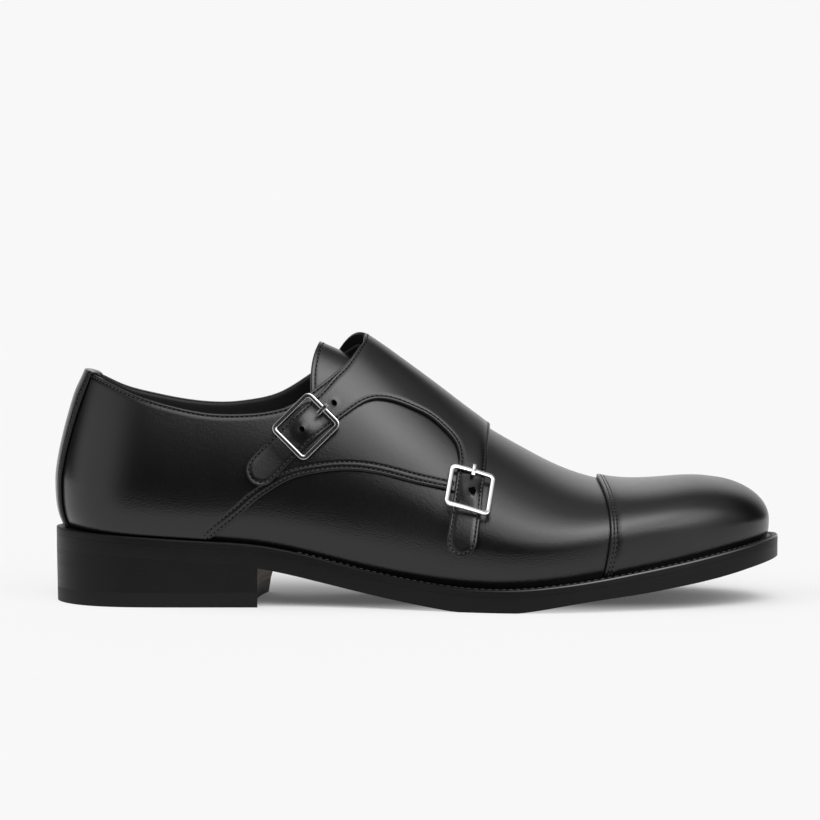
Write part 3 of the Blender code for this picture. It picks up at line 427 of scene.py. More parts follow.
def halve(low, high, too_low):
    """Root by halving, for arrays."""
    for _ in range(30):
        middle = (low + high) / 2
        short = too_low(middle)
        low = np.where(short, middle, low)
        high = np.where(short, high, middle)
    return (low + high) / 2


def place_at_x(x, t):
    """s where the line t of the last reaches x."""
    x, t = np.broadcast_arrays(np.asarray(x, float), np.asarray(t, float))
    return halve(np.zeros(x.shape), np.full(x.shape, TOE),
                 lambda s: on_last(*loop_place(s, t))[..., 0] < x)


def seen_from_side(points, side):
    """(s, t) of the points of the last that are seen at (x, z); side is -1 outer, +1 inner."""
    x, z = np.array(points, float).T

    def too_low(climb):
        t = side * (1 - climb)
        return on_last(*loop_place(place_at_x(x, t), t))[..., 2] < z

    t = side * (1 - halve(np.zeros(x.shape), np.ones(x.shape), too_low))
    return np.stack((place_at_x(x, t), t), -1)


def collar_climb(s, side):
    """Climb of the collar's edge, or of the throat's slit, on each rib."""
    s = np.asarray(s, float)
    collar = outer_collar if side < 0 else inner_collar

    def below_collar(climb):
        point = on_last(*loop_place(s, side * (1 - climb)))
        return point[..., 2] < collar(np.minimum(point[..., 0], THROAT_X))

    start, length, half_width = THROAT
    closing = np.clip((s - start) / length, 0, 1)
    slit = 1 - half_width * np.sqrt(1 - closing ** 2)
    return np.minimum(halve(np.zeros(s.shape), np.ones(s.shape), below_collar), slit)


# ---------------------------------------------------------------- settings

def length(name, text, value, low=0.0, high=10.0):
    """Length that a user may change, given here in millimetres."""
    return FloatProperty(name=name, description=text, default=value * MM, min=low * MM,
                         max=high * MM, unit="LENGTH", precision=5)


def colour(name, text, value):
    return FloatVectorProperty(name=name, description=text, default=value, size=3,
                               min=0.0, max=1.0, subtype="COLOR")


class ShoeStitching(bpy.types.PropertyGroup):
    """Seams of the upper and the welt."""
    pitch: length("Stitch pitch", "Distance between stitches on the upper", 2.0, 1.0)
    welt_pitch: length("Welt pitch", "Distance between stitches on the welt", 2.9, 2.0)
    thread: length("Thread", "Radius of the upper's thread", 0.23, 0.1, 1.0)
    from_edge: length("Row from the edge", "Distance of the first row from an edge", 1.2, 0.8)
    second_row: length("Second row", "Distance of a seam's second row from its edge", 3.4, 2.0)
    groove: length("Groove", "How deep the rows press into the leather", 0.2, 0.0, 0.5)


class ShoeColours(bpy.types.PropertyGroup):
    """Colours of the shoe's materials."""
    calf: colour("Calf", "Dyed calf of the upper", (0.0022, 0.0022, 0.0024))
    edge: colour("Cut edge", "Inked cut edges of the leather", (0.012, 0.012, 0.0125))
    lining: colour("Lining", "Lining and sock", (0.016, 0.015, 0.015))
    sole: colour("Sole edge", "Burnished edges of sole and heel", (0.0035, 0.0035, 0.0037))
    natural: colour("Natural leather", "Bare leather of sole and heel breast",
                    (0.2, 0.088, 0.04))
    rubber: colour("Rubber", "Top piece of the heel", (0.005, 0.005, 0.005))
    thread: colour("Thread", "Waxed thread", (0.04, 0.04, 0.041))
    steel: colour("Steel", "Polished buckles", (0.78, 0.78, 0.79))


class ShoeStage(bpy.types.PropertyGroup):
    """Camera, floor and studio light."""
    distance: FloatProperty(name="Distance", description="Camera to the shoe's middle",
                            default=1.6, min=0.5, unit="LENGTH")
    elevation: FloatProperty(name="Elevation", description="Camera above the horizon",
                             default=math.radians(3.5), subtype="ANGLE")
    lens: FloatProperty(name="Lens", description="Focal length in millimetres",
                        default=167.54, min=20.0)
    tone: FloatProperty(name="Backdrop", description="Tone of floor and backdrop",
                        default=0.939, min=0.0, max=1.0)
    light: FloatProperty(name="Light", description="Strength of the studio light",
                         default=1.0, min=0.0)


def settings():
    scene = bpy.context.scene
    return scene.shoe_stitching, scene.shoe_colours, scene.shoe_stage


# ---------------------------------------------------------------- materials

class Value:
    """A socket that does arithmetic; every sum or product adds its Math node."""

    def __init__(self, finish, socket):
        self.finish, self.socket = finish, socket

    def __add__(self, other):
        return self.finish.maths("ADD", self, other)

    def __sub__(self, other):
        return self.finish.maths("SUBTRACT", self, other)

    def __rsub__(self, other):
        return self.finish.maths("SUBTRACT", other, self)

    def __mul__(self, other):
        return self.finish.maths("MULTIPLY", self, other)

    def __pow__(self, other):
        return self.finish.maths("POWER", self, other)

    __radd__ = __add__
    __rmul__ = __mul__


class Finish:
    """A node tree that is filled one node at a time."""

    def __init__(self, tree):
        self.tree = tree

    def node(self, kind, choices, sockets, output=0):
        """Adds a node, makes its choices, then sets or links its sockets."""
        made = self.tree.nodes.new("ShaderNode" + kind)
        for name, value in choices.items():
            setattr(made, name, value)
        self.fill(made, sockets)
        return Value(self, made.outputs[output])

    def fill(self, made, sockets):
        for name, value in sockets.items():
            socket = made.inputs[name]
            if isinstance(value, Value):
                self.tree.links.new(value.socket, socket)
            else:
                socket.default_value = value

    def maths(self, operation, first, second):
        return self.node("Math", {"operation": operation}, {0: first, 1: second})

    def mix(self, share, first, second):
        """Colour between two colours."""
        pair = [value if isinstance(value, Value) else (*value, 1.0)
                for value in (first, second)]
        return self.node("Mix", {"data_type": "RGBA"}, {0: share, 6: pair[0], 7: pair[1]}, 2)

    def grey(self, value):
        return self.node("CombineColor", {}, {0: value, 1: value, 2: value})

    def smooth(self, value, low, high):
        """0 below low, 1 above high, and a soft step between."""
        return self.node("MapRange", {"interpolation_type": "SMOOTHSTEP"},
                         {"Value": value, "From Min": low, "From Max": high})


class Material(Finish):
    """A Principled material on object coordinates."""

    def __init__(self, name, **constants):
        self.material = bpy.data.materials.new(name)
        self.material.use_nodes = True
        super().__init__(self.material.node_tree)
        self.shader = self.tree.nodes["Principled BSDF"]
        self.place = self.node("TexCoord", {}, {}, "Object")
        self.surface(**constants)

    def surface(self, **sockets):
        named = {name.replace("_", " "): value for name, value in sockets.items()}
        for name, value in named.items():
            if name == "Base Color" and not isinstance(value, Value):
                named[name] = (*value, 1.0)
        self.fill(self.shader, named)

    def stretched(self, scale):
        return self.node("Mapping", {}, {"Vector": self.place, "Scale": scale})

    def noise(self, size, detail, place=None):
        """Noise with features about size millimetres wide."""
        return self.node("TexNoise", {}, {"Vector": place or self.place,
                                          "Scale": 1 / (size * MM), "Detail": detail})

    def along(self, axis):
        """Distance from the origin along one axis, in metres."""
        return self.node("SeparateXYZ", {}, {"Vector": self.place}, "XYZ".index(axis))

    def pebbles(self, size):
        return self.node("TexVoronoi", {"feature": "SMOOTH_F1"},
                         {"Vector": self.place, "Scale": 1 / (size * MM), "Smoothness": 0.6})

    def bump(self, height, depth, after=None):
        """Bump of a height from 0 to 1 that is depth millimetres deep."""
        sockets = {"Height": height, "Strength": 1.0, "Distance": depth * MM}
        if after:
            sockets["Normal"] = after
        return self.node("Bump", {}, sockets)


FINISHES = {}


def finish(name):
    """The named material, made the first time that it is asked for."""
    if name not in FINISHES:
        FINISHES[name] = MAKERS[name]().material
    return FINISHES[name]


def calf():
    """Polished box calf: fine pebbled grain, faint clouds in the polish."""
    tones = settings()[1]
    made = Material("black_calf", Specular_IOR_Level=0.5)
    clouds = made.noise(14.0, 3.0)
    grain = made.pebbles(0.65) * 0.6 + made.noise(0.4, 3.0) * 0.4
    wear = made.noise(4.0, 4.0)
    lighter = tuple(min(1.0, tone * 1.5) for tone in tones.calf)
    made.surface(Base_Color=made.mix(clouds * 0.6 + wear * 0.3, tuple(tones.calf), lighter),
                 Roughness=0.18 + clouds * 0.05 + grain * 0.08,
                 Normal=made.bump(grain, 0.065, made.bump(wear, 0.01)))
    return made


def cut_edge():
    """Inked and burnished edge of the cut leather."""
    tones = settings()[1]
    made = Material("inked_edge", Specular_IOR_Level=0.5)
    fibres = made.noise(0.5, 4.0)
    made.surface(Base_Color=made.mix(fibres, tuple(tones.edge), tuple(tones.calf)),
                 Roughness=0.36 + fibres * 0.15, Normal=made.bump(fibres, 0.04))
    return made


def lining():
    """Soft lining leather, matt with a fine grain."""
    tones = settings()[1]
    made = Material("lining_leather", Specular_IOR_Level=0.35)
    grain = made.noise(0.6, 4.0)
    creases = made.noise(7.0, 3.0)
    darker = tuple(tone * 0.6 for tone in tones.lining)
    made.surface(Base_Color=made.mix(creases, tuple(tones.lining), darker),
                 Roughness=0.55 + grain * 0.15, Normal=made.bump(grain, 0.05))
    return made


def burnished(name, **constants):
    """Black ink and wax on the sole's and heel's edges, with faint streaks along them."""
    tones = settings()[1]
    made = Material(name, Specular_IOR_Level=0.16, **constants)
    streaks = made.noise(1.0, 4.0, made.stretched((0.06, 0.06, 1.0)))
    clouds = made.noise(9.0, 2.0)
    lighter = tuple(tone * 2.2 for tone in tones.sole)
    made.surface(Base_Color=made.mix(streaks * clouds, tuple(tones.sole), lighter),
                 Roughness=0.34 + streaks * 0.14, Normal=made.bump(streaks, 0.06))
    return made


def sole_edge_ink():
    return burnished("burnished_sole")


def waxed_rim():
    """The rounded rim of the welt, with wax that is polished brighter toward the toe."""
    made = burnished("waxed_rim", Coat_IOR=1.7, Coat_Roughness=0.3)
    made.surface(Coat_Weight=made.smooth(made.along("X"), WELT_WAXED_FROM * MM,
                                         (WELT_WAXED_FROM + WAX_FADE) * MM))
    return made


def natural_leather():
    """Bare vegetable-tanned leather with its lifts and fibres."""
    tones = settings()[1]
    made = Material("natural_leather", Specular_IOR_Level=0.4)
    layers = made.noise(0.9, 3.0, made.stretched((0.08, 0.08, 1.0)))
    fibres = made.noise(0.4, 4.0)
    lifts = made.node("TexWave", {"bands_direction": "Z"},
                      {"Vector": made.place, "Scale": math.pi / 10 / (LIFT * MM),
                       "Distortion": 0.6, "Detail": 1.0}, 1)
    joints = made.smooth(lifts, 0.02, 0.16)
    darker = tuple(tone * 0.3 for tone in tones.natural)
    shade = (layers * 0.8 + fibres * 0.2) * joints
    made.surface(Base_Color=made.mix(shade, darker, tuple(tones.natural)),
                 Roughness=0.5 + fibres * 0.2,
                 Normal=made.bump(layers + fibres * 0.5 + joints, 0.08))
    return made


def rubber():
    tones = settings()[1]
    made = Material("top_piece_rubber", Specular_IOR_Level=0.14)
    specks = made.noise(0.5, 4.0)
    made.surface(Base_Color=made.mix(specks, tuple(tones.rubber), tuple(tones.edge)),
                 Roughness=0.45 + specks * 0.15, Normal=made.bump(specks, 0.04))
    return made


def thread():
    """Waxed thread, with its twist."""
    tones = settings()[1]
    made = Material("waxed_thread", Specular_IOR_Level=0.5)
    twist = made.noise(0.25, 2.0)
    made.surface(Base_Color=made.mix(twist, tuple(tones.thread), tuple(tones.calf)),
                 Roughness=0.42 + twist * 0.1, Normal=made.bump(twist, 0.03))
    return made


def painted_hole_shade():
    """Painted shade: near black and without reflection, it stands for the dark inside of a
    needle hole or a punched hole.
    """
    made = Material("painted_hole_shade", Specular_IOR_Level=0.0)
    depth = made.noise(0.3, 2.0)
    made.surface(Base_Color=made.mix(depth, (0.0015, 0.0015, 0.0015), (0.003, 0.003, 0.003)),
                 Roughness=0.9 + depth * 0.1)
    return made


def steel():
    """Polished plated steel with hairline marks."""
    tones = settings()[1]
    made = Material("polished_metal", Metallic=1.0)
    hairlines = made.noise(0.5, 3.0, made.stretched((1.0, 0.15, 1.0)))
    smears = made.noise(6.0, 2.0)
    darker = tuple(tone * 0.9 for tone in tones.steel)
    made.surface(Base_Color=made.mix(smears, tuple(tones.steel), darker),
                 Roughness=0.07 + hairlines * 0.05 + smears * 0.03,
                 Normal=made.bump(hairlines, 0.004))
    return made


def paper():
    """Pale seamless floor, lit near the shoe and glowing farther out.

    Light and glow add up to the backdrop's tone where nothing shades the floor.
    """
    stage = settings()[2]
    light = studio_irradiance() * stage.light
    made = Material("pale_floor", Specular_IOR_Level=0.0)
    x, y = made.along("X"), made.along("Y")
    aside = made.maths("ABSOLUTE", x - NEAR_MIDDLE[0], 0.0)
    beyond = made.maths("MAXIMUM", aside - NEAR_HALF_LENGTH, 0.0)
    away = (beyond * beyond + (y - NEAR_MIDDLE[1]) ** 2.0) ** 0.5
    far = made.smooth(away, *NEAR_EDGE)
    near_tone = NEAR_SHARE * min(0.96, stage.tone / light)
    paper_tone = near_tone + far * (near_tone * FAR_SHARE - near_tone)
    glow = stage.tone - paper_tone * light
    made.surface(Roughness=1.0, Base_Color=made.grey(paper_tone),
                 Emission_Color=made.grey(glow), Emission_Strength=1.0)
    return made


# The "hole" finish is painted shade for the insides of needle holes and punched holes.
MAKERS = {
    "calf": calf, "edge": cut_edge, "lining": lining, "sole": sole_edge_ink, "rim": waxed_rim,
    "natural": natural_leather, "rubber": rubber, "thread": thread, "hole": painted_hole_shade,
    "steel": steel, "floor": paper,
}


# ---------------------------------------------------------------- meshes

LEATHER_FINISHES = ("calf", "lining", "edge")  # of a sheet's outside, inside and edge


def deselect():
    bpy.ops.object.select_all(action="DESELECT")


def finished(item, finishes, slot, *nodes, angle=50.0):
    """Gives a piece its materials, smooth faces and body, and hides the imported nodes it stands
    for. The slot is not used.
    """
    for name in finishes:
        item.data.materials.append(finish(name))
    item.data.shade_smooth()
    item.data.set_sharp_from_angle(angle=math.radians(angle))
    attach(item, "root")
    if nodes:
        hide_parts(*nodes)
    return item


def facing_out(mesh):
    """Turns a closed mesh's faces outwards."""
    volume = 0.0
    for polygon in mesh.polygons:
        corners = [mesh.vertices[i].co for i in polygon.vertices]
        for i in range(1, len(corners) - 1):
            volume += corners[0].dot(corners[i].cross(corners[i + 1]))
    if volume < 0:
        mesh.flip_normals()


def object_of(name, points, faces, kinds):
    """Object from points in millimetres; kinds gives each face its material."""
    mesh = bpy.data.meshes.new(name)
    mesh.from_pydata((points * GRADE * MM).tolist(), [], faces)
    mesh.polygons.foreach_set("material_index", kinds)
    facing_out(mesh)
    item = bpy.data.objects.new(name, mesh)
    bpy.context.scene.collection.objects.link(item)
    return item


def welded(points, faces):
    """Merges points that coincide, and drops the corners and faces that vanish."""
    _, first, new = np.unique(np.round(points, 3), axis=0, return_index=True,
                              return_inverse=True)
    new = new.ravel()
    kept = []
    for face in faces:
        corners = [int(new[i]) for i in face]
        corners = [c for i, c in enumerate(corners) if c != corners[i - 1]]
        if len(set(corners)) >= 3:
            kept.append(corners)
    return first, kept


def thick_sheet(outer, inner, faces):
    """Closed solid between two copies of a sheet: points, faces and kinds of face.

    Kind 0 is the outer sheet, 1 the inner one and 2 the wall round the edge.
    """
    first, faces = welded(outer, faces)
    outer, inner = outer[first], inner[first]
    count = len(outer)
    directed = {(f[i - 1], f[i]) for f in faces for i in range(len(f))}
    wall = [[b, a, a + count, b + count] for a, b in sorted(directed) if (b, a) not in directed]
    solid = faces + [[c + count for c in reversed(f)] for f in faces] + wall
    kinds = [0] * len(faces) + [1] * len(faces) + [2] * len(wall)
    return np.concatenate((outer, inner)), solid, kinds


def sheet_piece(name, outer, inner, node):
    """Finished leather piece between two grids of points."""
    points, faces, kinds = thick_sheet(outer.reshape(-1, 3), inner.reshape(-1, 3),
                                       grid_faces(*outer.shape[:2]))
    finished(object_of(name, points, faces, kinds), LEATHER_FINISHES, "black_calf", node)


def grid_faces(rows, columns):
    corner = np.arange(rows * columns).reshape(rows, columns)
    return np.stack((corner[:-1, :-1], corner[1:, :-1], corner[1:, 1:], corner[:-1, 1:]),
                    -1).reshape(-1, 4).tolist()


def inside(points, outline):
    """Even-odd test of points against a closed outline."""
    x, y = points[:, 0, None], points[:, 1, None]
    ax, ay = outline.T
    bx, by = np.roll(outline, -1, axis=0).T
    straddles = (ay > y) != (by > y)
    rise = np.where(by == ay, 1.0, by - ay)
    crossed = straddles & (x < ax + (y - ay) * (bx - ax) / rise)
    return crossed.sum(axis=1) % 2 == 1


def near_points(points, others, reach):
    """Which points have one of the others within reach, found cell by cell."""
    cells = {}
    for x, y in others:
        cells.setdefault((math.floor(x / reach), math.floor(y / reach)), []).append((x, y))
    near = np.zeros(len(points), bool)
    for i, (x, y) in enumerate(points):
        column, row = math.floor(x / reach), math.floor(y / reach)
        for a in (column - 1, column, column + 1):
            for b in (row - 1, row, row + 1):
                for u, v in cells.get((a, b), ()):
                    if (u - x) ** 2 + (v - y) ** 2 < reach * reach:
                        near[i] = True
    return near


# ---------------------------------------------------------------- leather panels

GIRTH = 110.0  # length of a typical half rib, which turns t into millimetres
EDGE_ROUNDING = 0.5
EDGE_RINGS = (0.0, 0.08, 0.22, 0.5)  # distances of the rings over the rounded edge
EDGE_DROP = 0.32
THIN_EDGE_DROP = 0.3  # of the back strip and the tongue
GROOVE_HALF_WIDTH = 0.36
GROOVE_RINGS = (-0.36, -0.15, 0.0, 0.15, 0.36)  # rings across a groove, from its middle
EDGE_STEP = 1.0  # spacing of points along a panel's edge
FIELD_STEP = 1.8  # spacing of points inside a panel
LAST_RING = 0.8  # from the last groove to where the inside begins
HOLE_RINGS = (0.45, 0.8, 1.0, 1.2, 1.6)  # radii of the rings round a punched hole
THREAD_SUNK = 0.7  # share of a groove's depth at which its stitches lie


def evenly(points, spacing):
    """The same line with points about one spacing apart on the last, its ends kept."""
    points = np.asarray(points, float)
    dense = np.vstack([points[:-1] + (points[1:] - points[:-1]) * share
                       for share in np.arange(0, 1, 0.25)])
    dense = dense.reshape(4, -1, 2).transpose(1, 0, 2).reshape(-1, 2)
    dense = np.vstack((dense, points[-1:]))
    run = run_along(on_last(*loop_place(dense[:, 0], dense[:, 1])))
    count = max(2, int(round(run[-1] / spacing)) + 1)
    at = np.linspace(0, run[-1], count)
    return np.stack([np.interp(at, run, dense[:, i]) for i in (0, 1)], -1)


def smooth_line(points, density=12):
    """Spline through a few (x, z) or (s, t) points, taken along its own length."""
    points = np.array(points, float)
    run = run_along(points)
    at = np.linspace(0, run[-1], density * (len(points) - 1) + 1)
    return np.stack([natural_spline(np.stack((run, points[:, i]), -1))(at) for i in (0, 1)], -1)


def leather_frame(places):
    """Points and normals of the last at places, and how s and t move over it."""
    s, t = places[:, 0], np.clip(places[:, 1], -0.998, 0.998)
    ds, dt = 0.2, 0.002
    point = on_last(*loop_place(s, t))
    along = (on_last(*loop_place(s + ds, t)) - on_last(*loop_place(s - ds, t))) / (2 * ds)
    across = (on_last(*loop_place(s, t + dt)) - on_last(*loop_place(s, t - dt))) / (2 * dt)
    return point, last_normal(*loop_place(s, t)), along, across


def scale_at(place):
    """Millimetres on the last for one unit of s and of t at a place."""
    _, _, along, across = leather_frame(np.array([place]))
    return np.array((np.linalg.norm(along), np.linalg.norm(across)))


def ring_area(ring):
    """Area inside a closed ring of places, positive where the ring runs anticlockwise."""
    after = np.roll(ring, -1, axis=0)
    return (ring[:, 0] * after[:, 1] - after[:, 0] * ring[:, 1]).sum() / 2


def inward_steps(ring):
    """For each place of a closed ring, the step (s, t) that is one millimetre inwards."""
    point, normal, along, across = leather_frame(ring)
    ahead = np.roll(point, -1, axis=0) - point
    ahead /= np.linalg.norm(ahead, axis=1, keepdims=True) + 1e-12
    behind = np.roll(ahead, 1, axis=0)
    ends = np.cross(along, across)
    turn = np.sign(ring_area(ring)) * np.sign((ends * normal).sum(axis=1, keepdims=True))
    inward = np.cross(normal, ahead) * turn + np.cross(normal, behind) * turn
    size = np.linalg.norm(inward, axis=1, keepdims=True)
    mitre = np.clip(size / 2, 0.55, 1.0)
    inward = inward / (size + 1e-12) / mitre
    aa, ab, bb = ((u * v).sum(axis=1) for u, v in ((along, along), (along, across),
                                                  (across, across)))
    ga, gb = (inward * along).sum(axis=1), (inward * across).sum(axis=1)
    spread = aa * bb - ab * ab
    return np.stack(((ga * bb - gb * ab) / spread, (gb * aa - ga * ab) / spread), -1)


class Seams:
    """Two rows of stitches beside an edge, and the rings of points that carry them."""

    def __init__(self, first, second):
        self.first, self.second = first, second
        self.depth = settings()[0].groove / MM
        self.distances = [*EDGE_RINGS, *(row + step for row in (first, second)
                                         for step in GROOVE_RINGS)]

    def height(self, distance, rows):
        """Height of the leather at a distance in, where rows of stitches run along."""
        drop = rounded_edge(distance, EDGE_DROP)
        for count, row in ((1, self.first), (2, self.second)):
            groove = smoothstep(1 - abs(distance - row) / GROOVE_HALF_WIDTH)
            drop = drop + self.depth * groove * (rows >= count)
        return -drop


class Panel:
    """Leather piece of the last inside a ring of edges, each (line, rows of stitches)."""

    def __init__(self, edges, top, holes=()):
        self.top, self.holes = top, holes
        stitching = settings()[0]
        self.seams = Seams(stitching.from_edge / MM, stitching.second_row / MM)
        distances = [*self.seams.distances, self.seams.distances[-1] + LAST_RING]
        lines = [evenly(line, EDGE_STEP)[:-1] for line, _ in edges]
        ring = np.vstack(lines)
        rows = np.concatenate([np.full(len(line), float(rows))
                               for line, (_, rows) in zip(lines, edges)])
        self.spans = np.cumsum([0] + [len(line) for line in lines])
        count = len(ring)
        steps = inward_steps(ring)
        self.rings = [ring + steps * distance for distance in distances]
        heights = [self.seams.height(distance, rows) for distance in distances]
        last = self.rings[-1] * (1, GIRTH)
        punched = [self.round_hole(*hole) * (1, GIRTH) for hole in holes]
        field = self.field(last, punched, FIELD_STEP)
        flat = np.vstack([last] + punched + [field])
        loop = [(i, (i + 1) % count) for i in range(count)]
        vertices, _, faces, origin, *_ = delaunay_2d_cdt([Vector(p) for p in flat], loop, [],
                                                         1, 1e-6)
        below = (len(self.rings) - 1) * count
        self.places = np.vstack(self.rings[:-1] + [np.array(vertices) / (1, GIRTH)])
        height = np.zeros(len(self.places))
        height[:below] = np.concatenate(heights[:-1])
        rim = np.zeros(len(vertices))
        for i, sources in enumerate(origin):
            first = [source for source in sources if source < count]
            rim[i] = heights[-1][first[0]] if first else 0.0
        height[below:] = rim
        self.height = height + self.hole_depth(self.places)
        place_of = {}
        for i, sources in enumerate(origin):
            for source in sources:
                place_of[source] = below + i
        self.faces = [[below + i for i in face] for face in faces]
        for k in range(len(self.rings) - 1):
            for i in range(count):
                j = (i + 1) % count
                if k + 2 < len(self.rings):
                    far = ((k + 1) * count + j, (k + 1) * count + i)
                else:
                    far = (place_of[j], place_of[i])
                face = [k * count + i, k * count + j, *far]
                self.faces.append(face if ring_area(ring) > 0 else face[::-1])

    def round_hole(self, middle, radius):
        """Rings of places round a punched hole."""
        scale = 1 / scale_at(middle)
        angle = np.linspace(0, 2 * math.pi, 16, endpoint=False)
        circle = np.stack((np.cos(angle), np.sin(angle)), -1)
        rings = [np.array([middle])]
        rings += [middle + circle * scale * radius * share for share in HOLE_RINGS]
        return np.vstack(rings)

    def hole_depth(self, places):
        """Height of the leather round its punched holes, which have slightly swollen rims."""
        depth = np.zeros(len(places))
        for middle, radius in self.holes:
            away = np.linalg.norm((places - middle) * scale_at(middle), axis=1) / radius
            depth -= HOLE_DEPTH * smoothstep((1.08 - away) / 0.25)
            depth += HOLE_RIM * smoothstep((1.7 - away) / 0.5) * (away > 1.05)
        return depth

    def field(self, outline, punched, spacing):
        """Points that fill the inside, clear of the edge rings and the holes."""
        low, high = outline.min(axis=0), outline.max(axis=0)
        columns, rows = np.meshgrid(np.arange(low[0], high[0], spacing),
                                    np.arange(low[1], high[1], spacing * 0.87))
        columns = columns + (np.arange(len(rows)) % 2)[:, None] * spacing / 2
        points = np.stack((columns.ravel(), rows.ravel()), -1)
        points = points[np.concatenate([inside(part, outline)
                                        for part in np.array_split(points, 12)])]
        return points[~near_points(points, np.vstack([outline] + punched), spacing * 0.6)]

    def surface(self, change):
        """Points of the leather at its own level, raised by a change."""
        s, t = self.places.T
        return raised(*loop_place(s, t), self.top(s, t) + change)

    def make(self, name):
        """Object of the panel, with the insides of its holes as a kind of face of their own,
        which gets the painted shade of an open hole.
        """
        points, faces, kinds = thick_sheet(self.surface(self.height), self.surface(-LEATHER),
                                           self.faces)
        # The punched holes are shallow dimples; their inner faces get the dark painted shade
        # that stands for the open hole.
        for (s, t), radius in self.holes:
            place = loop_place(s, t)
            middle, normal = raised(*place, float(self.top(s, t))), last_normal(*place)
            for i, face in enumerate(faces):
                away = points[face].mean(axis=0) - middle
                depth = away.dot(normal)
                aside = np.linalg.norm(away - normal * depth)
                if kinds[i] == 0 and abs(depth) < 3 and aside < radius:
                    kinds[i] = 3
        return object_of(name, points, faces, kinds)

    def row(self, edge, second=False):
        """Points and normals along a stitch row beside an edge, in the groove."""
        distance = self.seams.second if second else self.seams.first
        ring = self.rings[self.seams.distances.index(distance)]
        s, t = ring[self.spans[edge]:self.spans[edge + 1]].T
        turn, climb = loop_place(s, t)
        height = self.top(s, t) - self.seams.depth * THREAD_SUNK
        return raised(turn, climb, height), last_normal(turn, climb)


# ---------------------------------------------------------------- stitching

def stitch_shape(size, flatness, segments=8, rings=5):
    """Bead of the given size, from a UV sphere: points and faces."""
    deselect()
    bpy.ops.mesh.primitive_uv_sphere_add(segments=segments, ring_count=rings, radius=1.0,
                                         rotation=(0.0, math.pi / 2, 0.0))
    item = bpy.context.active_object
    bpy.ops.object.transform_apply(location=False, rotation=True, scale=False)
    points = np.array([v.co[:] for v in item.data.vertices])
    faces = [list(p.vertices) for p in item.data.polygons]
    ends = np.sign(points[:, :1]) * np.abs(points[:, :1]) ** flatness
    points = np.hstack((ends, points[:, 1:])) * size
    bpy.data.objects.remove(item, do_unlink=True)
    return points, faces


class Stitching:
    """Rows of stitches gathered into one piece: thread, and between the beads a dark disc of
    painted shade where the needle hole is.
    """

    def __init__(self, pitch=None, radius=None):
        stitching = settings()[0]
        self.pitch = pitch or stitching.pitch / MM
        self.radius = radius or stitching.thread / MM
        self.places = []

    def add(self, points, normals):
        """One row along points with their normals."""
        run = run_along(points)
        count = int(run[-1] / self.pitch)
        if count < 1:
            return
        at = (np.arange(count) + 0.5) * run[-1] / count

        def along(values, where):
            return np.stack([np.interp(where, run, values[:, i]) for i in range(3)], -1)

        middle = along(points, at)
        heading = along(points, at + 0.3 * self.pitch) - along(points, at - 0.3 * self.pitch)
        normal = along(normals, at)
        for p, h, n in zip(middle, unit(heading), normal):
            n = unit(n - h * n.dot(h))
            self.places.append((p, np.stack((h, np.cross(n, h), n))))

    def make(self, name):
        """Thread beads, each with a thin dark disc behind it: painted shade of the needle hole
        that the thread dives into.
        """
        radius = self.radius
        thread = stitch_shape((self.pitch * 0.33, radius, radius * 0.9), 0.6)
        # The disc lies just on the leather; its dark colour is painted shade, not a real hole.
        hole = stitch_shape((self.pitch * 0.25, radius * 1.8, 0.07), 0.8, 10, 4)
        points, faces, kinds = [], [], []
        count = 0
        for place, axes in self.places:
            for kind, (shape, corners), shift in ((0, thread, (0.0, 0.0, radius * 0.4)),
                                                  (1, hole, (self.pitch / 2, 0.0, 0.04))):
                points.append(place + (shape + shift) @ axes)
                faces += [[c + count for c in face] for face in corners]
                kinds += [kind] * len(corners)
                count += len(shape)
        item = object_of(name, np.vstack(points), faces, kinds)
        finished(item, ("thread", "hole"), "black_calf", angle=80.0)


# ---------------------------------------------------------------- pieces of the upper

def quarter_top(s, t):
    return np.full(np.shape(s), QUARTER_TOP)


def strap_axes(strap, side):
    """Directions along a strap and across it to one side, seen from the outer side."""
    along = unit(np.subtract(strap["tip"], strap["root"]))
    return along, np.array((-along[1], along[0])) * side


def strap_edge(strap, side, reach):
    """One long edge of a strap, from beyond its root to the start of its round tip."""
    along, across = strap_axes(strap, side)
    half_width = strap["half_width"]
    across = across * half_width
    return np.array((strap["root"] + across + along * reach,
                     strap["tip"] - along * half_width + across))


def strap_tip(strap, first_side):
    """Round end of a strap, from its first side to the other."""
    along, across = strap_axes(strap, first_side)
    half_width = strap["half_width"]
    middle = strap["tip"] - along * half_width
    return np.array([middle + half_width * (math.cos(a) * across + math.sin(a) * along)
                     for a in np.linspace(0, math.pi, 19)])


def strap_bulge(s, t):
    """How far each strap arches up inside its buckle."""
    lift = np.zeros(np.shape(s))
    for strap in STRAPS.values():
        middle = seen_from_side([strap["buckle"]], -1)[0]
        scale = scale_at(middle)
        away = np.hypot((s - middle[0]) * scale[0], (t - middle[1]) * scale[1])
        lift = lift + STRAP_ARCH * smoothstep(1 - away / ARCH_REACH)
    return lift


def strap_curl(s, t):
    """How far each strap's free end springs away from the shoe."""
    lift = np.zeros(np.shape(s))
    points = on_last(*loop_place(s, t))
    for strap in STRAPS.values():
        buckle, tip = (on_last(*loop_place(*place)) for place in
                       seen_from_side([strap["buckle"], strap["tip"]], -1))
        axis = unit(tip - buckle)
        ahead = (points - tip) @ axis
        aside = np.linalg.norm(points - tip - ahead[..., None] * axis, axis=-1)
        share = np.clip(1 + ahead / CURL_LENGTH, 0, 1.1) ** 1.5
        lift = lift + strap["curl"] * share * (aside < CURL_HALF_WIDTH)
    return lift


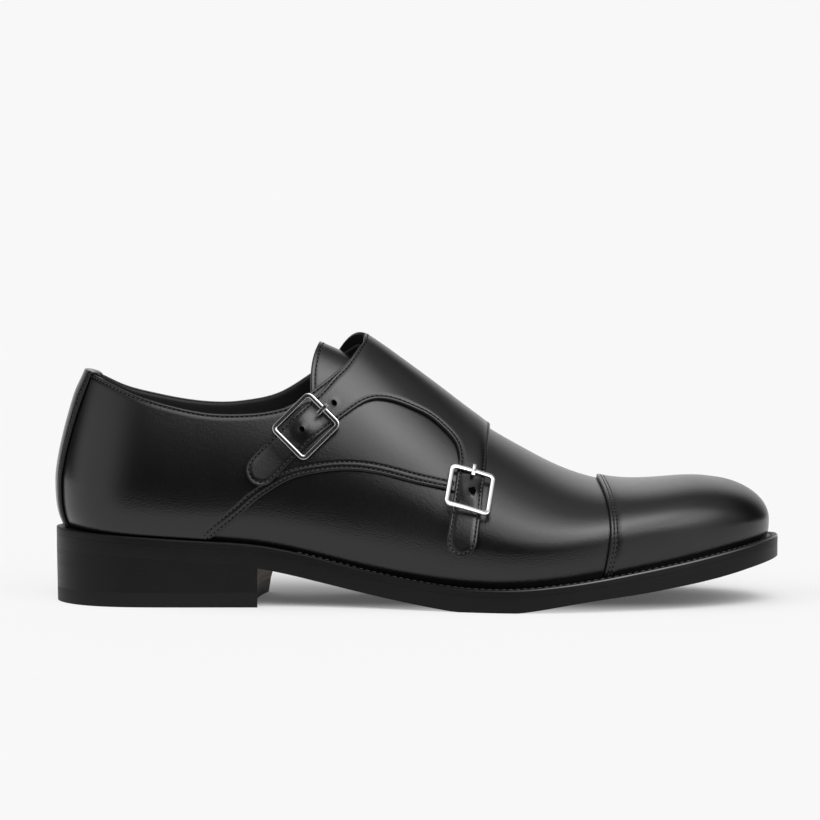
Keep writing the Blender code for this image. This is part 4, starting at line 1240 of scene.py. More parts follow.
def flap_top(s, t):
    """The flap lies on the inner quarter's own level, and over the outer quarter."""
    start, width = FLAP_CROSSING
    over_foot = smoothstep((start - t) / width)
    sinking, start, width = FLAP_FRONT_SINKS
    front = 1 - sinking * smoothstep((s - start) / width)
    rise = strap_bulge(s, t) + strap_curl(s, t)
    return QUARTER_TOP + (STRAP_TOP - QUARTER_TOP) * over_foot * front + rise


def collar_line(side, start, end):
    s = np.linspace(start, end, 60)
    return np.stack((s, side * (1 - collar_climb(s, side))), -1)


def feather_line(side, start, end):
    """Lower edge of a panel, down in the crease of the welt."""
    return np.array(((start, side * FEATHER), (end, side * FEATHER)))


class SHOE_OT_upper(bpy.types.Operator):
    """Vamp and lining: one hollow wall with a rounded rim at collar and throat"""
    bl_idname = "shoe.upper"
    bl_label = "Vamp and lining"

    def execute(self, context):
        ribs = np.concatenate((np.linspace(0, 30, 22)[:-1], np.linspace(30, TOE - 30, 126)[:-1],
                               np.linspace(TOE - 30, TOE, 26)))
        turns = np.concatenate((ribs, 2 * TOE - ribs[-2::-1]))
        tops = np.concatenate((collar_climb(ribs, -1), collar_climb(ribs[-2::-1], 1)))
        body = np.linspace(0, 1, 54)
        point_top = on_last(turns, tops)
        girth = np.linalg.norm(point_top - on_last(turns, tops * 0.98), axis=1) / (tops * 0.02)
        open_top = np.where(tops < 0.9999, 1.0, 0.0)
        rim = 1.3 / girth * open_top
        from_rim = np.array((1.0, 0.5, 0.13, 0.0)) * UPPER_RIM
        climb = np.hstack(((tops - rim)[:, None] * body[:-1],
                           tops[:, None] - (open_top / girth)[:, None] * from_rim))
        drop = np.zeros(climb.shape)
        rounding = UPPER_RIM - np.sqrt(UPPER_RIM ** 2 - (UPPER_RIM - from_rim) ** 2)
        drop[:, -4:] = rounding * open_top[:, None]
        turn = np.broadcast_to(turns[:, None], climb.shape)
        sheet_piece("vamp_and_lining", raised(turn, climb, -drop),
                    raised(turn, climb, drop - UPPER_WALL), "upper")
        return {"FINISHED"}


class SHOE_OT_toe_cap(bpy.types.Operator):
    """Toe cap over the vamp, with two rows of stitches behind its edge"""
    bl_idname = "shoe.toe_cap"
    bl_label = "Toe cap"

    def execute(self, context):
        seams = Seams(*CAP_ROWS)
        rings = np.array(seams.distances)
        t = np.concatenate((-np.linspace(FEATHER, 0, 70), np.linspace(0, FEATHER, 70)[1:]))
        edge = smooth_line(CAP_EDGE)
        share = 1 - np.abs(t)
        height = on_last(*loop_place(240.0, t))[:, 2]
        first = place_at_x(np.interp(-height, -edge[:, 1], edge[:, 0]), t)
        step = np.linalg.norm(on_last(*loop_place(first + 0.5, t)) -
                              on_last(*loop_place(first, t)), axis=1) / 0.5
        near = first[:, None] + rings / np.maximum(step, 0.25)[:, None]
        body = np.linspace(0, 1, 46)[1:] ** 0.9
        far = near[:, -1:] + (TOE - near[:, -1:]) * body
        s = np.hstack((near, far))
        rise = np.array([seams.height(d, 2) for d in rings] + [0.0] * len(body))
        turn, climb = loop_place(s, t[:, None])
        sheet_piece("toe_cap_leather",
                    raised(turn, climb, QUARTER_TOP + np.broadcast_to(rise, s.shape)),
                    raised(turn, climb, np.full(s.shape, QUARTER_TOP - LEATHER)), "toe_cap")
        stitches = Stitching()
        for row in CAP_ROWS:
            column = seams.distances.index(row)
            place = turn[:, column], climb[:, column]
            stitches.add(raised(*place, QUARTER_TOP - seams.depth), last_normal(*place))
        stitches.make("toe_cap_stitches")
        return {"FINISHED"}


class SHOE_OT_outer_quarter(bpy.types.Operator):
    """Outer quarter, from the back seam to under the straps"""
    bl_idname = "shoe.outer_quarter"
    bl_label = "Outer quarter"

    def execute(self, context):
        seam = seen_from_side(smooth_line(OUTER_SEAM), -1)
        seam[0, 1] = -FEATHER
        top = collar_line(-1, BACK_SEAM, COLLAR_END)
        front = np.vstack((top[-1:], smooth_line((*QUARTER_FRONT, seam[-1]))))
        back = np.array(((BACK_SEAM, -FEATHER), top[0]))
        bottom = feather_line(-1, seam[0, 0], BACK_SEAM)
        panel = Panel(((bottom, 0), (back, 0), (top, 1), (front, 0), (seam[::-1], 2)),
                      quarter_top)
        finished(panel.make("outer_quarter"), LEATHER_FINISHES, "black_calf", "quarter_outer")
        stitches = Stitching()
        stitches.add(*panel.row(2))
        stitches.add(*panel.row(4))
        stitches.add(*panel.row(4, second=True))
        stitches.make("outer_quarter_stitches")
        return {"FINISHED"}


class SHOE_OT_inner_quarter(bpy.types.Operator):
    """Inner quarter, which runs on over the instep as the flap with its two straps"""
    bl_idname = "shoe.inner_quarter"
    bl_label = "Inner quarter, flap and straps"

    def execute(self, context):
        back_s, front_s = (float(place_at_x(x, 0.0)) for x in FLAP_RIDGE)
        seam = seen_from_side(smooth_line(INNER_SEAM), 1)
        seam[-1, 1] = FEATHER
        front_inner = smooth_line(np.vstack(((front_s, 0.0), (front_s - 0.3, 0.10), seam[0])))
        bottom = feather_line(1, seam[-1, 0], BACK_SEAM)
        collar_end = float(seen_from_side([INNER_COLLAR[-3]], 1)[0, 0])
        collar = collar_line(1, BACK_SEAM, collar_end)
        back = np.array(((BACK_SEAM, FEATHER), collar[0]))
        top_inner = smooth_line((collar[-1], (back_s - 5.5, 0.14), (back_s, 0.0)))
        upper_strap, lower_strap = STRAPS["upper"], STRAPS["lower"]
        back_edge = np.vstack((smooth_line(FLAP_BACK), strap_edge(upper_strap, -1, 2.0)))
        upper_tip = strap_tip(upper_strap, -1)
        arch = smooth_line(np.vstack((strap_edge(upper_strap, 1, 3.0)[:1], FLAP_ARCH)))
        under = np.vstack((upper_tip[-1:], arch[:1]))
        lower_tip = strap_tip(lower_strap, -1)
        inner_edge = np.vstack((arch[-1:], lower_tip[:1]))
        outer_edge = np.vstack((lower_tip[-1:], smooth_line(FLAP_FRONT)))
        lines = (back_edge, upper_tip, under, arch, inner_edge, lower_tip, outer_edge)
        outer_side = [seen_from_side(line, -1) for line in lines]
        outer_side[0] = np.vstack(((back_s, 0.0), outer_side[0]))
        outer_side[-1] = np.vstack((outer_side[-1], (front_s, 0.0)))
        for line, following in zip(outer_side, outer_side[1:]):
            following[0] = line[-1]
        edges = [(line, 1) for line in outer_side]
        edges += [(front_inner, 1), (seam, 2), (bottom, 0), (back, 0), (collar, 1),
                  (top_inner, 1)]
        holes = [(seen_from_side([place], -1)[0], radius) for place, radius in STRAP_HOLES]
        panel = Panel(edges, flap_top, holes)
        # The fourth finish is the painted shade in the punched holes.
        finished(panel.make("inner_quarter_flap_and_straps"), (*LEATHER_FINISHES, "hole"),
                 "black_calf", "quarter_inner_with_straps")
        stitches = Stitching()
        round_flap = [panel.row(edge) for edge in (11, 12, *range(9))]
        stitches.add(*(np.vstack(part) for part in zip(*round_flap)))
        stitches.add(*panel.row(8, second=True))
        stitches.make("inner_quarter_stitches")
        return {"FINISHED"}


class SHOE_OT_back_strip(bpy.types.Operator):
    """Strip over the back seam, folded over the collar at its top"""
    bl_idname = "shoe.back_strip"
    bl_label = "Back strip"

    def execute(self, context):
        low, high = STRIP_HALF_WIDTH
        edge = np.array((*EDGE_RINGS, 0.9, STRIP_ROW, 1.3, 1.6, 2.6)) / low
        side = np.concatenate((-1 + edge, np.linspace(-1 + edge[-1], 1 - edge[-1], 16)[1:-1],
                               1 - edge[::-1]))
        share = np.linspace(0.0, 1, 70)
        side, share = np.meshgrid(side, share, indexing="ij")
        turn = side * (low + (high - low) * share ** 2)
        top = np.array([collar_climb(np.abs(row), -1 if row[0] > 0 else 1) for row in turn])
        climb = 0.002 + (top - 0.002) * share
        away = (1 - np.abs(side)) * low
        groove = STRIP_GROOVE * smoothstep(1 - np.abs(away - STRIP_ROW) / 0.4)
        drop = (rounded_edge(away, THIN_EDGE_DROP) + groove +
                SHOULDER * smoothstep((share - SHOULDER_FROM) / (1 - SHOULDER_FROM)))
        outer = raised(turn, climb, STRIP_TOP - drop)
        inner = raised(turn, climb, np.full(turn.shape, STRIP_TOP - STRIP_LEATHER))
        rim = raised(turn[:, -1], climb[:, -1], np.zeros(len(turn)))
        out = last_normal(turn[:, -1], climb[:, -1])
        up = unit(np.cross(np.gradient(rim, axis=0), out))
        up *= np.where(up[:, 2:] < 0, -1.0, 1.0)
        middle = (STRIP_TOP - UPPER_WALL) / 2
        reach = STRIP_TOP - middle
        bends = [(math.cos(angle), math.sin(angle) * FOLD_RISE)
                 for angle in np.linspace(0, math.pi, 11)[1:]]
        for across, height in bends + [(-1.0, -depth) for depth in FOLD_DEPTHS]:
            wide = reach - (drop[:, -1:] if across > 0 else 0.0)
            shape = rim + out * (middle + across * wide) + up * height
            tight = rim + out * (middle + across * (wide - 0.5)) + up * min(height, height * 0.5)
            outer = np.concatenate((outer, shape[:, None]), axis=1)
            inner = np.concatenate((inner, tight[:, None]), axis=1)
        sheet_piece("back_strip_leather", outer, inner, "back_strip")
        stitches = Stitching()
        for column in (5, -6):
            stitches.add(raised(turn[column], climb[column], STRIP_TOP - drop[column]),
                         last_normal(turn[column], climb[column]))
        stitches.make("back_strip_stitches")
        return {"FINISHED"}


class SHOE_OT_tongue(bpy.types.Operator):
    """Tongue under the flap, stitched along its free end"""
    bl_idname = "shoe.tongue"
    bl_label = "Tongue"

    def execute(self, context):
        rows = np.array(TONGUE_ROWS)
        half_width = natural_spline(rows[:, (0, 1)])
        fall = natural_spline(rows[:, (0, 2)])
        along = np.concatenate(((*EDGE_RINGS, 1.2, 1.45, TONGUE_ROW, 1.95, 2.2),
                                np.linspace(3.0, TONGUE_LENGTH, 34))) / TONGUE_LENGTH
        across = np.concatenate((-1 + np.array((0, 0.004, 0.01, 0.025)),
                                 np.linspace(-0.95, 0.95, 61),
                                 1 - np.array((0.025, 0.01, 0.004, 0))))
        share, side = np.meshgrid(along, across, indexing="ij")
        free_end = rows[0, 0] + 1.2 - 9 * side ** 2 + 6 * side ** 4
        x = free_end + (rows[-1, 0] - free_end) * share
        y = TONGUE_MIDDLE_Y + side * half_width(x)
        z = tongue_ridge(x) - fall(x) * np.abs(side) ** 2.2
        outer = np.stack((x, y, z), -1)
        normal = unit(np.cross(np.gradient(outer, axis=0), np.gradient(outer, axis=1)))
        normal *= np.where(normal[..., 2:] < 0, -1.0, 1.0)
        away = share * TONGUE_LENGTH
        groove = TONGUE_GROOVE * smoothstep(1 - np.abs(away - TONGUE_ROW) / 0.5)
        top = outer - normal * (rounded_edge(away, THIN_EDGE_DROP) + groove)[..., None]
        sheet_piece("tongue_leather", top, outer - normal * TONGUE_THICKNESS, "tongue")
        stitches = Stitching()
        stitches.add(top[6, 4:-4], normal[6, 4:-4])
        stitches.make("tongue_stitches")
        return {"FINISHED"}


# ---------------------------------------------------------------- sole and heel

def sole_edge(s, side, inset=0.0):
    """Plan outline of the sole: the feather line moved out by the welt's margin."""
    s = np.asarray(s, float)
    margins = np.array(WELT_MARGIN)
    margin = natural_spline(margins[:, (0, 1 if side < 0 else 2)])(s / TOE)
    turn = loop_place(s, side * 0.5)[0]
    return rib(turn)[..., :2] + plan_normal(turn) * (margin - inset)[..., None]


def feather_edge(s, side, inset):
    turn = loop_place(np.asarray(s, float), side * 0.5)[0]
    return rib(turn)[..., :2] - plan_normal(turn) * inset


def plan_grid(edge, s, across):
    """Points across the sole between its outer and inner edge."""
    outer, inner = edge(s, -1), edge(s, 1)
    return outer[:, None] + (inner - outer)[:, None] * across[:, None]


def sole_places(count):
    """s values, closer together round heel and toe."""
    turn = np.linspace(0, math.pi, count)
    return TOE * (0.5 - 0.5 * np.cos(turn)) * 0.6 + TOE * 0.4 * turn / math.pi


def outsole_top(x):
    return welt_top(x) - WELT_THICKNESS - SOLE_JOINT


def laid_grid(name, plan):
    """Grid primitive laid over rows and columns of points in plan, doubles merged."""
    rows, columns = plan.shape[:2]
    deselect()
    bpy.ops.mesh.primitive_grid_add(x_subdivisions=columns - 1, y_subdivisions=rows - 1,
                                    size=1.0)
    item = bpy.context.active_object
    item.name = item.data.name = name
    flat = np.column_stack((plan.reshape(-1, 2), np.zeros(rows * columns)))
    item.data.vertices.foreach_set("co", (flat * GRADE * MM).ravel())
    bpy.ops.object.mode_set(mode="EDIT")
    bpy.ops.mesh.select_all(action="SELECT")
    bpy.ops.mesh.remove_doubles(threshold=0.00002)
    bpy.ops.object.mode_set(mode="OBJECT")
    return item


def coordinates(item):
    """The mesh's points in drawn millimetres."""
    points = np.empty(len(item.data.vertices) * 3)
    item.data.vertices.foreach_get("co", points)
    return points.reshape(-1, 3) / GRADE / MM


def place_points(item, points):
    item.data.vertices.foreach_set("co", (points * GRADE * MM).ravel())
    item.data.update()


def thickened(item, top, bottom):
    """Extrudes a laid grid down and sets both its faces to their heights, as f(x, y)."""
    bpy.ops.object.mode_set(mode="EDIT")
    bpy.ops.mesh.select_all(action="SELECT")
    bpy.ops.mesh.extrude_region_move(TRANSFORM_OT_translate={"value": (0.0, 0.0, -1.0)})
    bpy.ops.mesh.select_all(action="SELECT")
    bpy.ops.mesh.normals_make_consistent(inside=False)
    bpy.ops.object.mode_set(mode="OBJECT")
    points = coordinates(item)
    low = points[:, 2] < -1.0
    points[:, 2] = np.where(low, bottom(points[:, 0], points[:, 1]),
                            top(points[:, 0], points[:, 1]))
    place_points(item, points)
    return item


def round_rims(item, offset, segments, chosen, sharpness=55.0):
    """Bevels the sharp edges whose middle, in millimetres, the test chooses."""
    bpy.ops.object.mode_set(mode="EDIT")
    bpy.ops.mesh.select_mode(type="EDGE")
    bpy.ops.mesh.select_all(action="DESELECT")
    bpy.ops.mesh.edges_select_sharp(sharpness=math.radians(sharpness))
    bpy.ops.object.mode_set(mode="OBJECT")
    points = coordinates(item)
    for edge in item.data.edges:
        if edge.select:
            edge.select = bool(chosen(points[list(edge.vertices)].mean(axis=0)))
    bpy.ops.object.mode_set(mode="EDIT")
    bpy.ops.mesh.bevel(offset=offset * MM, segments=segments, affect="EDGES",
                       clamp_overlap=True)
    bpy.ops.object.mode_set(mode="OBJECT")


def paint_faces(item, kind):
    """Material index of each face from its middle in millimetres and its normal."""
    points = coordinates(item)
    for face in item.data.polygons:
        middle = points[list(face.vertices)].mean(axis=0)
        face.material_index = kind(middle, np.array(face.normal))


def breast_x(y, low):
    """Front of the heel in plan, slanted and hollow, at the seat (low 0) or the floor (1)."""
    outer_y, inner_y = sole_edge(BREAST_S, -1)[1], sole_edge(BREAST_S, 1)[1]
    share = np.clip((y - outer_y) / (inner_y - outer_y), 0, 1)
    slant = BREAST_OUTER_X + (BREAST_INNER_X - BREAST_OUTER_X - BREAST_RAKE * low) * share
    return slant - (BREAST_HOLLOW + BREAST_DEEPER * low) * 4 * share * (1 - share)


def heel_plan(inset, low):
    """Grid in plan from the heel's back to its breast, at the seat or the floor."""
    across = np.linspace(0, 1, 15)

    def point(s):
        outer, inner = sole_edge(s, -1, inset), sole_edge(s, 1, inset)
        return outer + (inner - outer) * across[:, None]

    end = halve(np.zeros(len(across)), np.full(len(across), TOE / 2),
                lambda s: point(s)[:, 0] < breast_x(point(s)[:, 1], low))
    share = np.linspace(0, 1, 34) ** 1.5
    return np.stack([point(end * step) for step in share])


class SHOE_OT_outsole(bpy.types.Operator):
    """Leather outsole, inked at its edges and stained black beneath"""
    bl_idname = "shoe.outsole"
    bl_label = "Outsole"

    def execute(self, context):
        plan = plan_grid(lambda s, side: sole_edge(s, side, SOLE_INSET), sole_places(150),
                         np.linspace(0, 1, 25))
        item = thickened(laid_grid("leather_outsole", plan), lambda x, y: outsole_top(x),
                         lambda x, y: sole_bottom(x))
        round_rims(item, 0.7, 3, lambda p: p[2] < outsole_top(p[0]) - 2)
        finished(item, ("sole",), "burnished_sole", "outsole")
        return {"FINISHED"}


class SHOE_OT_welt(bpy.types.Operator):
    """Welt round the whole sole, stitched from the waist round the toe"""
    bl_idname = "shoe.welt"
    bl_label = "Welt"

    def execute(self, context):
        s = sole_places(170)
        bend = np.linspace(0, math.pi / 2, WELT_RIM_RINGS)
        away = np.append(WELT_RIM * (1 - np.cos(bend)),
                         (WELT_ROW - 0.5, WELT_ROW, WELT_ROW + 0.5))
        columns = [np.vstack((sole_edge(s, -1, inset), sole_edge(s, 1, inset)[-2:0:-1]))
                   for inset in away]
        for inset in WELT_INNER:
            columns.append(np.vstack((feather_edge(s, -1, inset),
                                      feather_edge(s, 1, inset)[-2:0:-1])))
        loop = np.stack(columns, 1)
        plan = np.concatenate((loop, loop[:1]))
        item = thickened(laid_grid("welt_strip", plan), lambda x, y: welt_top(x),
                         lambda x, y: welt_top(x) - WELT_THICKNESS)
        points = coordinates(item)
        sunk = np.zeros(len(columns))
        sunk[:WELT_RIM_RINGS] = WELT_RIM * (1 - np.sin(bend))
        sunk[WELT_RIM_RINGS + 1] = WELT_GROOVE
        column = [np.hypot(*(loop - p[:2]).transpose(2, 0, 1)).argmin() % len(columns)
                  for p in points]
        on_top = points[:, 2] > welt_top(points[:, 0]) - 0.1
        points[:, 2] -= np.where(on_top, sunk[column], 0.0)
        place_points(item, points)
        rim = loop[:, 0]
        paint_faces(item, lambda p, n: int(0.12 < n[2] < 0.97 and p[0] > WELT_WAXED_FROM and
                                           np.hypot(*(rim - p[:2]).T).min() < 2 * WELT_RIM))
        finished(item, ("sole", "rim"), "burnished_sole", "welt")
        stitches = Stitching(settings()[0].welt_pitch / MM, WELT_THREAD)
        first = place_at_x(WELT_STITCHED_FROM, -0.97)
        for side in (-1, 1):
            at = np.linspace(float(first), TOE, 220)
            plan = sole_edge(at, side, WELT_ROW)
            row = np.column_stack((plan, welt_top(plan[:, 0]) - WELT_SUNK))
            stitches.add(row, np.tile((0.0, 0.0, 1.0), (len(row), 1)))
        stitches.make("welt_stitches")
        return {"FINISHED"}


class SHOE_OT_insole(bpy.types.Operator):
    """Insole under its sock, dished at the heel"""
    bl_idname = "shoe.insole"
    bl_label = "Insole and sock"

    def execute(self, context):
        plan = plan_grid(lambda s, side: feather_edge(s, side, INSOLE_INSET),
                         sole_places(110), np.linspace(0, 1, 21))
        outer, inner = (feather_edge(sole_places(60), side, 0.0).T for side in (-1, 1))

        def top(x, y):
            outer_y, inner_y = np.interp(x, *outer), np.interp(x, *inner)
            share = np.clip((y - outer_y) / np.maximum(inner_y - outer_y, 4.0), 0, 1)
            side_rise = INSOLE_DISH * (1 - 4 * share * (1 - share))
            return outsole_top(x) + SOCK_THICKNESS + INSOLE_THICKNESS + side_rise

        item = thickened(laid_grid("insole_and_sock", plan), top,
                         lambda x, y: outsole_top(x) + INSOLE_JOINT)
        finished(item, ("lining",), "lining", "insole")
        return {"FINISHED"}


class SHOE_OT_heel(bpy.types.Operator):
    """Stacked heel, waxed smooth outside and bare at the breast, and its rubber top piece"""
    bl_idname = "shoe.heel"
    bl_label = "Heel"

    def execute(self, context):
        deselect()
        seat_plan = heel_plan(SOLE_INSET, 0.0)
        floor_plan = heel_plan(SOLE_INSET + HEEL_TAPER, 1.0)
        share = TOP_PIECE_THICKNESS / HEEL_SEAT_HEIGHT
        joint_plan = floor_plan + (seat_plan - floor_plan) * share
        joint = TOP_PIECE_THICKNESS
        for name, upper_plan, lower_plan, top, bottom, dressing in (
                ("heel_stack", seat_plan, joint_plan,
                 lambda x, y: sole_bottom(x) - LIFT_JOINT,
                 lambda x, y: joint + LIFT_JOINT + 0 * x,
                 (("sole", "natural"), "burnished_sole")),
                ("heel_top_piece", joint_plan, floor_plan, lambda x, y: joint + 0 * x,
                 lambda x, y: 0 * x, (("rubber",), "top_piece_rubber"))):
            item = thickened(laid_grid(name + "_block", upper_plan), top, bottom)
            points = coordinates(item)
            flat = upper_plan.reshape(-1, 2)
            low = points[:, 2] < (top(points[:, 0], 0) + bottom(points[:, 0], 0)) / 2
            for i in np.flatnonzero(low):
                place = np.argmin(((flat - points[i, :2]) ** 2).sum(axis=1))
                points[i, :2] = lower_plan.reshape(-1, 2)[place]
            place_points(item, points)
            if name == "heel_top_piece":
                round_rims(item, 0.3, 2, lambda p: p[2] < 1)
            if len(dressing[0]) > 1:
                paint_faces(item, lambda p, n: int(n[0] > 0.7))
            finished(item, *dressing, name)
        return {"FINISHED"}


# ---------------------------------------------------------------- buckles

def strap_frame(strap, level):
    """Frame on the strap: x along it to the tip, y across it, z away from the shoe."""
    s, t = seen_from_side([strap["buckle"]], -1)[0]
    turn, climb = loop_place(s, t)
    along = strap_axes(strap, -1)[0]
    ahead = seen_from_side([strap["buckle"] + along], -1)[0]
    middle = raised(turn, climb, level)
    step = raised(*loop_place(*ahead), level) - middle
    out = Vector(last_normal(turn, climb))
    forward = Vector(step)
    forward = (forward - out * forward.dot(out)).normalized()
    sideways = out.cross(forward)
    frame_matrix = Matrix((forward, sideways, out)).transposed().to_4x4()
    frame_matrix.translation = Vector(middle)
    return frame_matrix


def bent_bar(name, path, half_size, closed, placed):
    """Bar of flat oval section along a path in a strap's frame, turned into a mesh."""
    curves = []
    angle = np.linspace(0, 2 * math.pi, 24, endpoint=False)
    wide, high = (np.sign(wave) * np.abs(wave) ** BAR_SQUARENESS * half
                  for wave, half in zip((np.cos(angle), np.sin(angle)), half_size))
    section = np.stack((wide, high, 0 * angle), -1)
    for points, cyclic in ((section, True), (path, closed)):
        curve = bpy.data.curves.new(name, "CURVE")
        curve.dimensions = "3D"
        curve.twist_mode = "Z_UP"
        line = curve.splines.new("POLY")
        line.points.add(len(points) - 1)
        for point, place in zip(line.points, points):
            point.co = (*(np.array(place) * MM), 1.0)
        line.use_cyclic_u = cyclic
        curves.append(bpy.data.objects.new(name, curve))
        bpy.context.scene.collection.objects.link(curves[-1])
    profile, item = curves
    item.data.bevel_mode = "OBJECT"
    item.data.bevel_object = profile
    item.data.use_fill_caps = True
    deselect()
    item.select_set(True)
    bpy.context.view_layer.objects.active = item
    bpy.ops.object.convert(target="MESH")
    item = bpy.context.active_object
    bpy.data.objects.remove(profile, do_unlink=True)
    item.name = name
    points = coordinates(item)
    place_points(item, np.array([placed @ Vector(p) for p in points * GRADE]))
    facing_out(item.data)
    return item


def rounded_rectangle(length, width, corner):
    """Points round a rectangle with round corners, anticlockwise, its sides divided."""
    steps = 9
    points = []
    for quarter in range(4):
        sign_x = 1 if quarter in (0, 3) else -1
        sign_y = 1 if quarter in (0, 1) else -1
        for step in range(steps + 1):
            angle = math.pi / 2 * (quarter + step / steps)
            points.append((sign_x * (length / 2 - corner) + corner * math.cos(angle),
                           sign_y * (width / 2 - corner) + corner * math.sin(angle)))
    points = np.array(points)
    after = np.roll(points, -1, axis=0)
    return np.vstack([np.linspace(a, b, 8, endpoint=False) if np.linalg.norm(b - a) > 3
                      else a[None] for a, b in zip(points, after)])


class SHOE_OT_buckles(bpy.types.Operator):
    """Two polished buckles with their prongs"""
    bl_idname = "shoe.buckles"
    bl_label = "Buckles"

    def execute(self, context):
        half, thick = BUCKLE_BAR
        for which, strap in STRAPS.items():
            placed = strap_frame(strap, STRAP_TOP + BUCKLE_CLEARANCE + thick)
            placed = placed @ Matrix.Rotation(math.radians(strap["dip"]), 4, "Y")
            placed = placed @ Matrix.Rotation(math.radians(strap["roll"]), 4, "X")
            along, across = (size - 2 * half for size in strap["size"])
            outline = rounded_rectangle(along, across, BUCKLE_CORNER)
            bow = BUCKLE_BOW * (1 - (outline[:, 1] / across * 2) ** 2)
            item = bent_bar("buckle_frame_" + which, np.column_stack((outline, bow)),
                            BUCKLE_BAR, True, placed)
            finished(item, ("steel",), "polished_metal", "buckle_" + which, angle=80.0)
            back = -along / 2
            reach = BUCKLE_BOW + thick + PRONG[1]
            turns = ((back + 2.9, reach * 0.92), (back + 1.8, reach), (back, reach),
                     (back - 1.3, reach), (back - 2.3, reach * 0.97))
            path = smooth_line(turns, 5)
            path = np.column_stack((path[:, 0], 0 * path[:, 0], path[:, 1]))
            item = bent_bar("buckle_prong_" + which, path, PRONG, False, placed)
            round_rims(item, 0.3, 3, lambda p: True, 60.0)
            finished(item, ("steel",), "polished_metal", "prong_" + which)
        return {"FINISHED"}


# ---------------------------------------------------------------- stage

# Studio light by direction: axis, radiance, and the angles in degrees between which it
# fades. First the boxes above the outer side, then the dimmer ones round the room.
SOFT_BOXES = (
    # axis, radiance, full, faded
    ((0.10, -0.70, 0.70), 2.4, 8.0, 26.0),
    ((0.55, -0.55, 0.62), 3.0, 10.0, 31.0),
    ((0.22, -0.42, 0.88), 2.0, 6.0, 24.0),
    ((0.28, -0.90, 0.34), 0.75, 4.0, 20.0),
    ((0.72, -0.68, 0.12), 0.8, 6.0, 28.0),
    ((0.07, 0.66, 0.75), 0.3, 6.0, 34.0),
    ((0.52, 0.05, 0.86), 0.4, 6.0, 26.0),
    ((0.88, -0.32, 0.36), 0.45, 6.0, 30.0),
    ((-0.90, -0.35, 0.15), 0.9, 18.0, 50.0),
    ((0.0, 1.0, 0.22), 0.9, 15.0, 50.0),
    ((-0.10, -0.15, 1.0), 0.6, 15.0, 40.0),
)
AMBIENT = 0.02


def studio_irradiance():
    """Mean light on a level floor, as the radiance that a white floor would show."""
    polar, turn = np.meshgrid((np.arange(90) + 0.5) * math.pi / 180,
                              np.linspace(0, 2 * math.pi, 180, endpoint=False), indexing="ij")
    ray = np.stack((np.sin(polar) * np.cos(turn), np.sin(polar) * np.sin(turn),
                    np.cos(polar)), -1)
    light = np.full(polar.shape, AMBIENT)
    for axis, radiance, full, faded in SOFT_BOXES:
        high, low = math.cos(math.radians(full)), math.cos(math.radians(faded))
        light += radiance * smoothstep((ray @ unit(axis) - low) / (high - low))
    cell = math.pi / 180 * 2 * math.pi / 180
    return float((light * np.cos(polar) * np.sin(polar)).sum() * cell / math.pi)


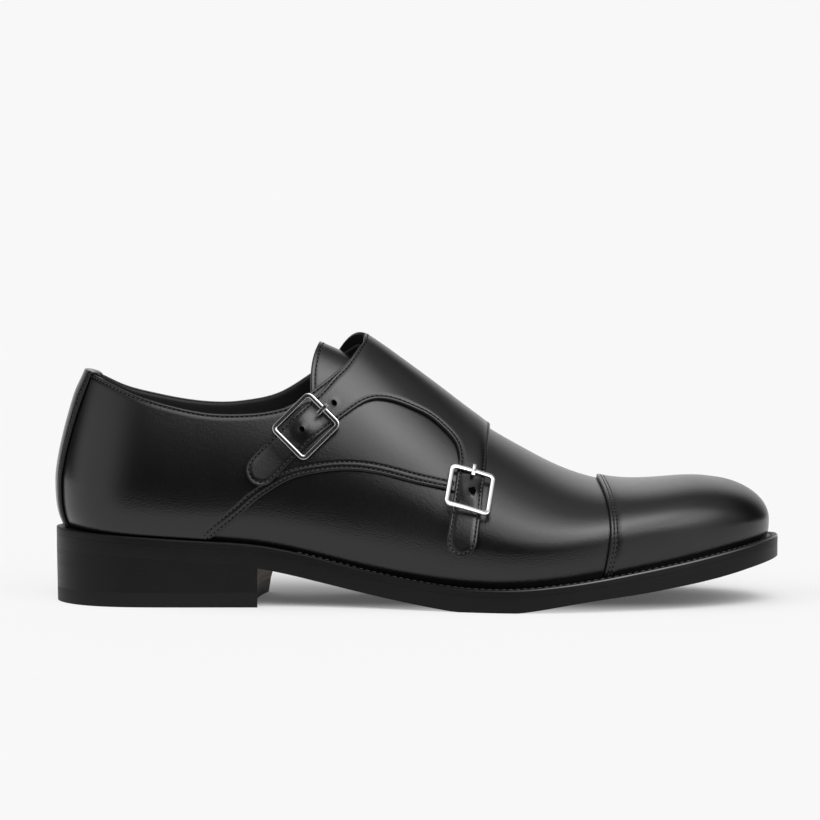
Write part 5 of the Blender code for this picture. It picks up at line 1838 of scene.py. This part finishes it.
class SHOE_OT_stage(bpy.types.Operator):
    """Pale floor, studio light and camera"""
    bl_idname = "shoe.stage"
    bl_label = "Stage"

    def execute(self, context):
        stage = settings()[2]
        deselect()
        bpy.ops.mesh.primitive_plane_add(size=FLOOR_SIZE,
                                         location=(0.0, FLOOR_SIZE / 2 - FLOOR_FRONT, 0.0))
        bpy.ops.object.transform_apply(location=True, rotation=False, scale=False)
        floor = context.active_object
        floor.name = "floor"
        floor.data.materials.append(finish("floor"))
        self.light(stage)
        self.camera(context, stage)
        context.scene.view_settings.view_transform = "Standard"
        return {"FINISHED"}

    def light(self, stage):
        world = bpy.data.worlds.new("studio")
        bpy.context.scene.world = world
        world.use_nodes = True
        tree = Finish(world.node_tree)
        ray = tree.node("TexCoord", {}, {}, "Generated")
        total = AMBIENT
        for axis, radiance, full, faded in SOFT_BOXES:
            axis = Vector(axis).normalized()
            facing = tree.node("VectorMath", {"operation": "DOT_PRODUCT"},
                               {0: ray, 1: tuple(axis)}, "Value")
            total = total + radiance * tree.smooth(facing, math.cos(math.radians(faded)),
                                                   math.cos(math.radians(full)))
        seen = tree.node("LightPath", {}, {}, "Is Camera Ray")
        strength = seen * stage.tone + (1 - seen) * total * stage.light
        tree.fill(world.node_tree.nodes["Background"], {"Strength": strength})
        world.node_tree.nodes["Background"].inputs["Color"].default_value = (1, 1, 1, 1)

    def camera(self, context, stage):
        deselect()
        aim = Vector(CAMERA_AIM) * MM
        back = Vector((0.0, -math.cos(stage.elevation), math.sin(stage.elevation)))
        bpy.ops.object.camera_add(location=aim + back * stage.distance)
        camera = context.active_object
        camera.rotation_mode = "QUATERNION"
        camera.rotation_quaternion = (-back).to_track_quat("-Z", "Y")
        camera.data.lens = stage.lens
        context.scene.camera = camera


# ---------------------------------------------------------------- panel and registration

STEPS = ("outsole", "welt", "insole", "heel", "upper", "toe_cap", "outer_quarter",
         "inner_quarter", "back_strip", "tongue", "buckles", "stage")


class SHOE_PT_panel(bpy.types.Panel):
    """Lists the shoe's pieces in the sidebar"""
    bl_label = "Double monk-strap shoe"
    bl_idname = "SHOE_PT_panel"
    bl_space_type = "VIEW_3D"
    bl_region_type = "UI"
    bl_category = "Shoe"

    def draw(self, context):
        for group in settings():
            box = self.layout.box()
            for name in type(group).__annotations__:
                box.prop(group, name)
        for step in STEPS:
            self.layout.operator("shoe." + step)


CLASSES = (ShoeStitching, ShoeColours, ShoeStage, SHOE_OT_outsole, SHOE_OT_welt,
           SHOE_OT_insole, SHOE_OT_heel, SHOE_OT_upper, SHOE_OT_toe_cap,
           SHOE_OT_outer_quarter, SHOE_OT_inner_quarter, SHOE_OT_back_strip,
           SHOE_OT_tongue, SHOE_OT_buckles, SHOE_OT_stage, SHOE_PT_panel)


def register():
    for made in CLASSES:
        bpy.utils.register_class(made)
    bpy.types.Scene.shoe_stitching = PointerProperty(type=ShoeStitching)
    bpy.types.Scene.shoe_colours = PointerProperty(type=ShoeColours)
    bpy.types.Scene.shoe_stage = PointerProperty(type=ShoeStage)


def unregister():
    del bpy.types.Scene.shoe_stage
    del bpy.types.Scene.shoe_colours
    del bpy.types.Scene.shoe_stitching
    for made in reversed(CLASSES):
        bpy.utils.unregister_class(made)


def main():
    register()
    for step in STEPS:
        getattr(bpy.ops.shoe, step)()


if __name__ == "__main__":
    main()
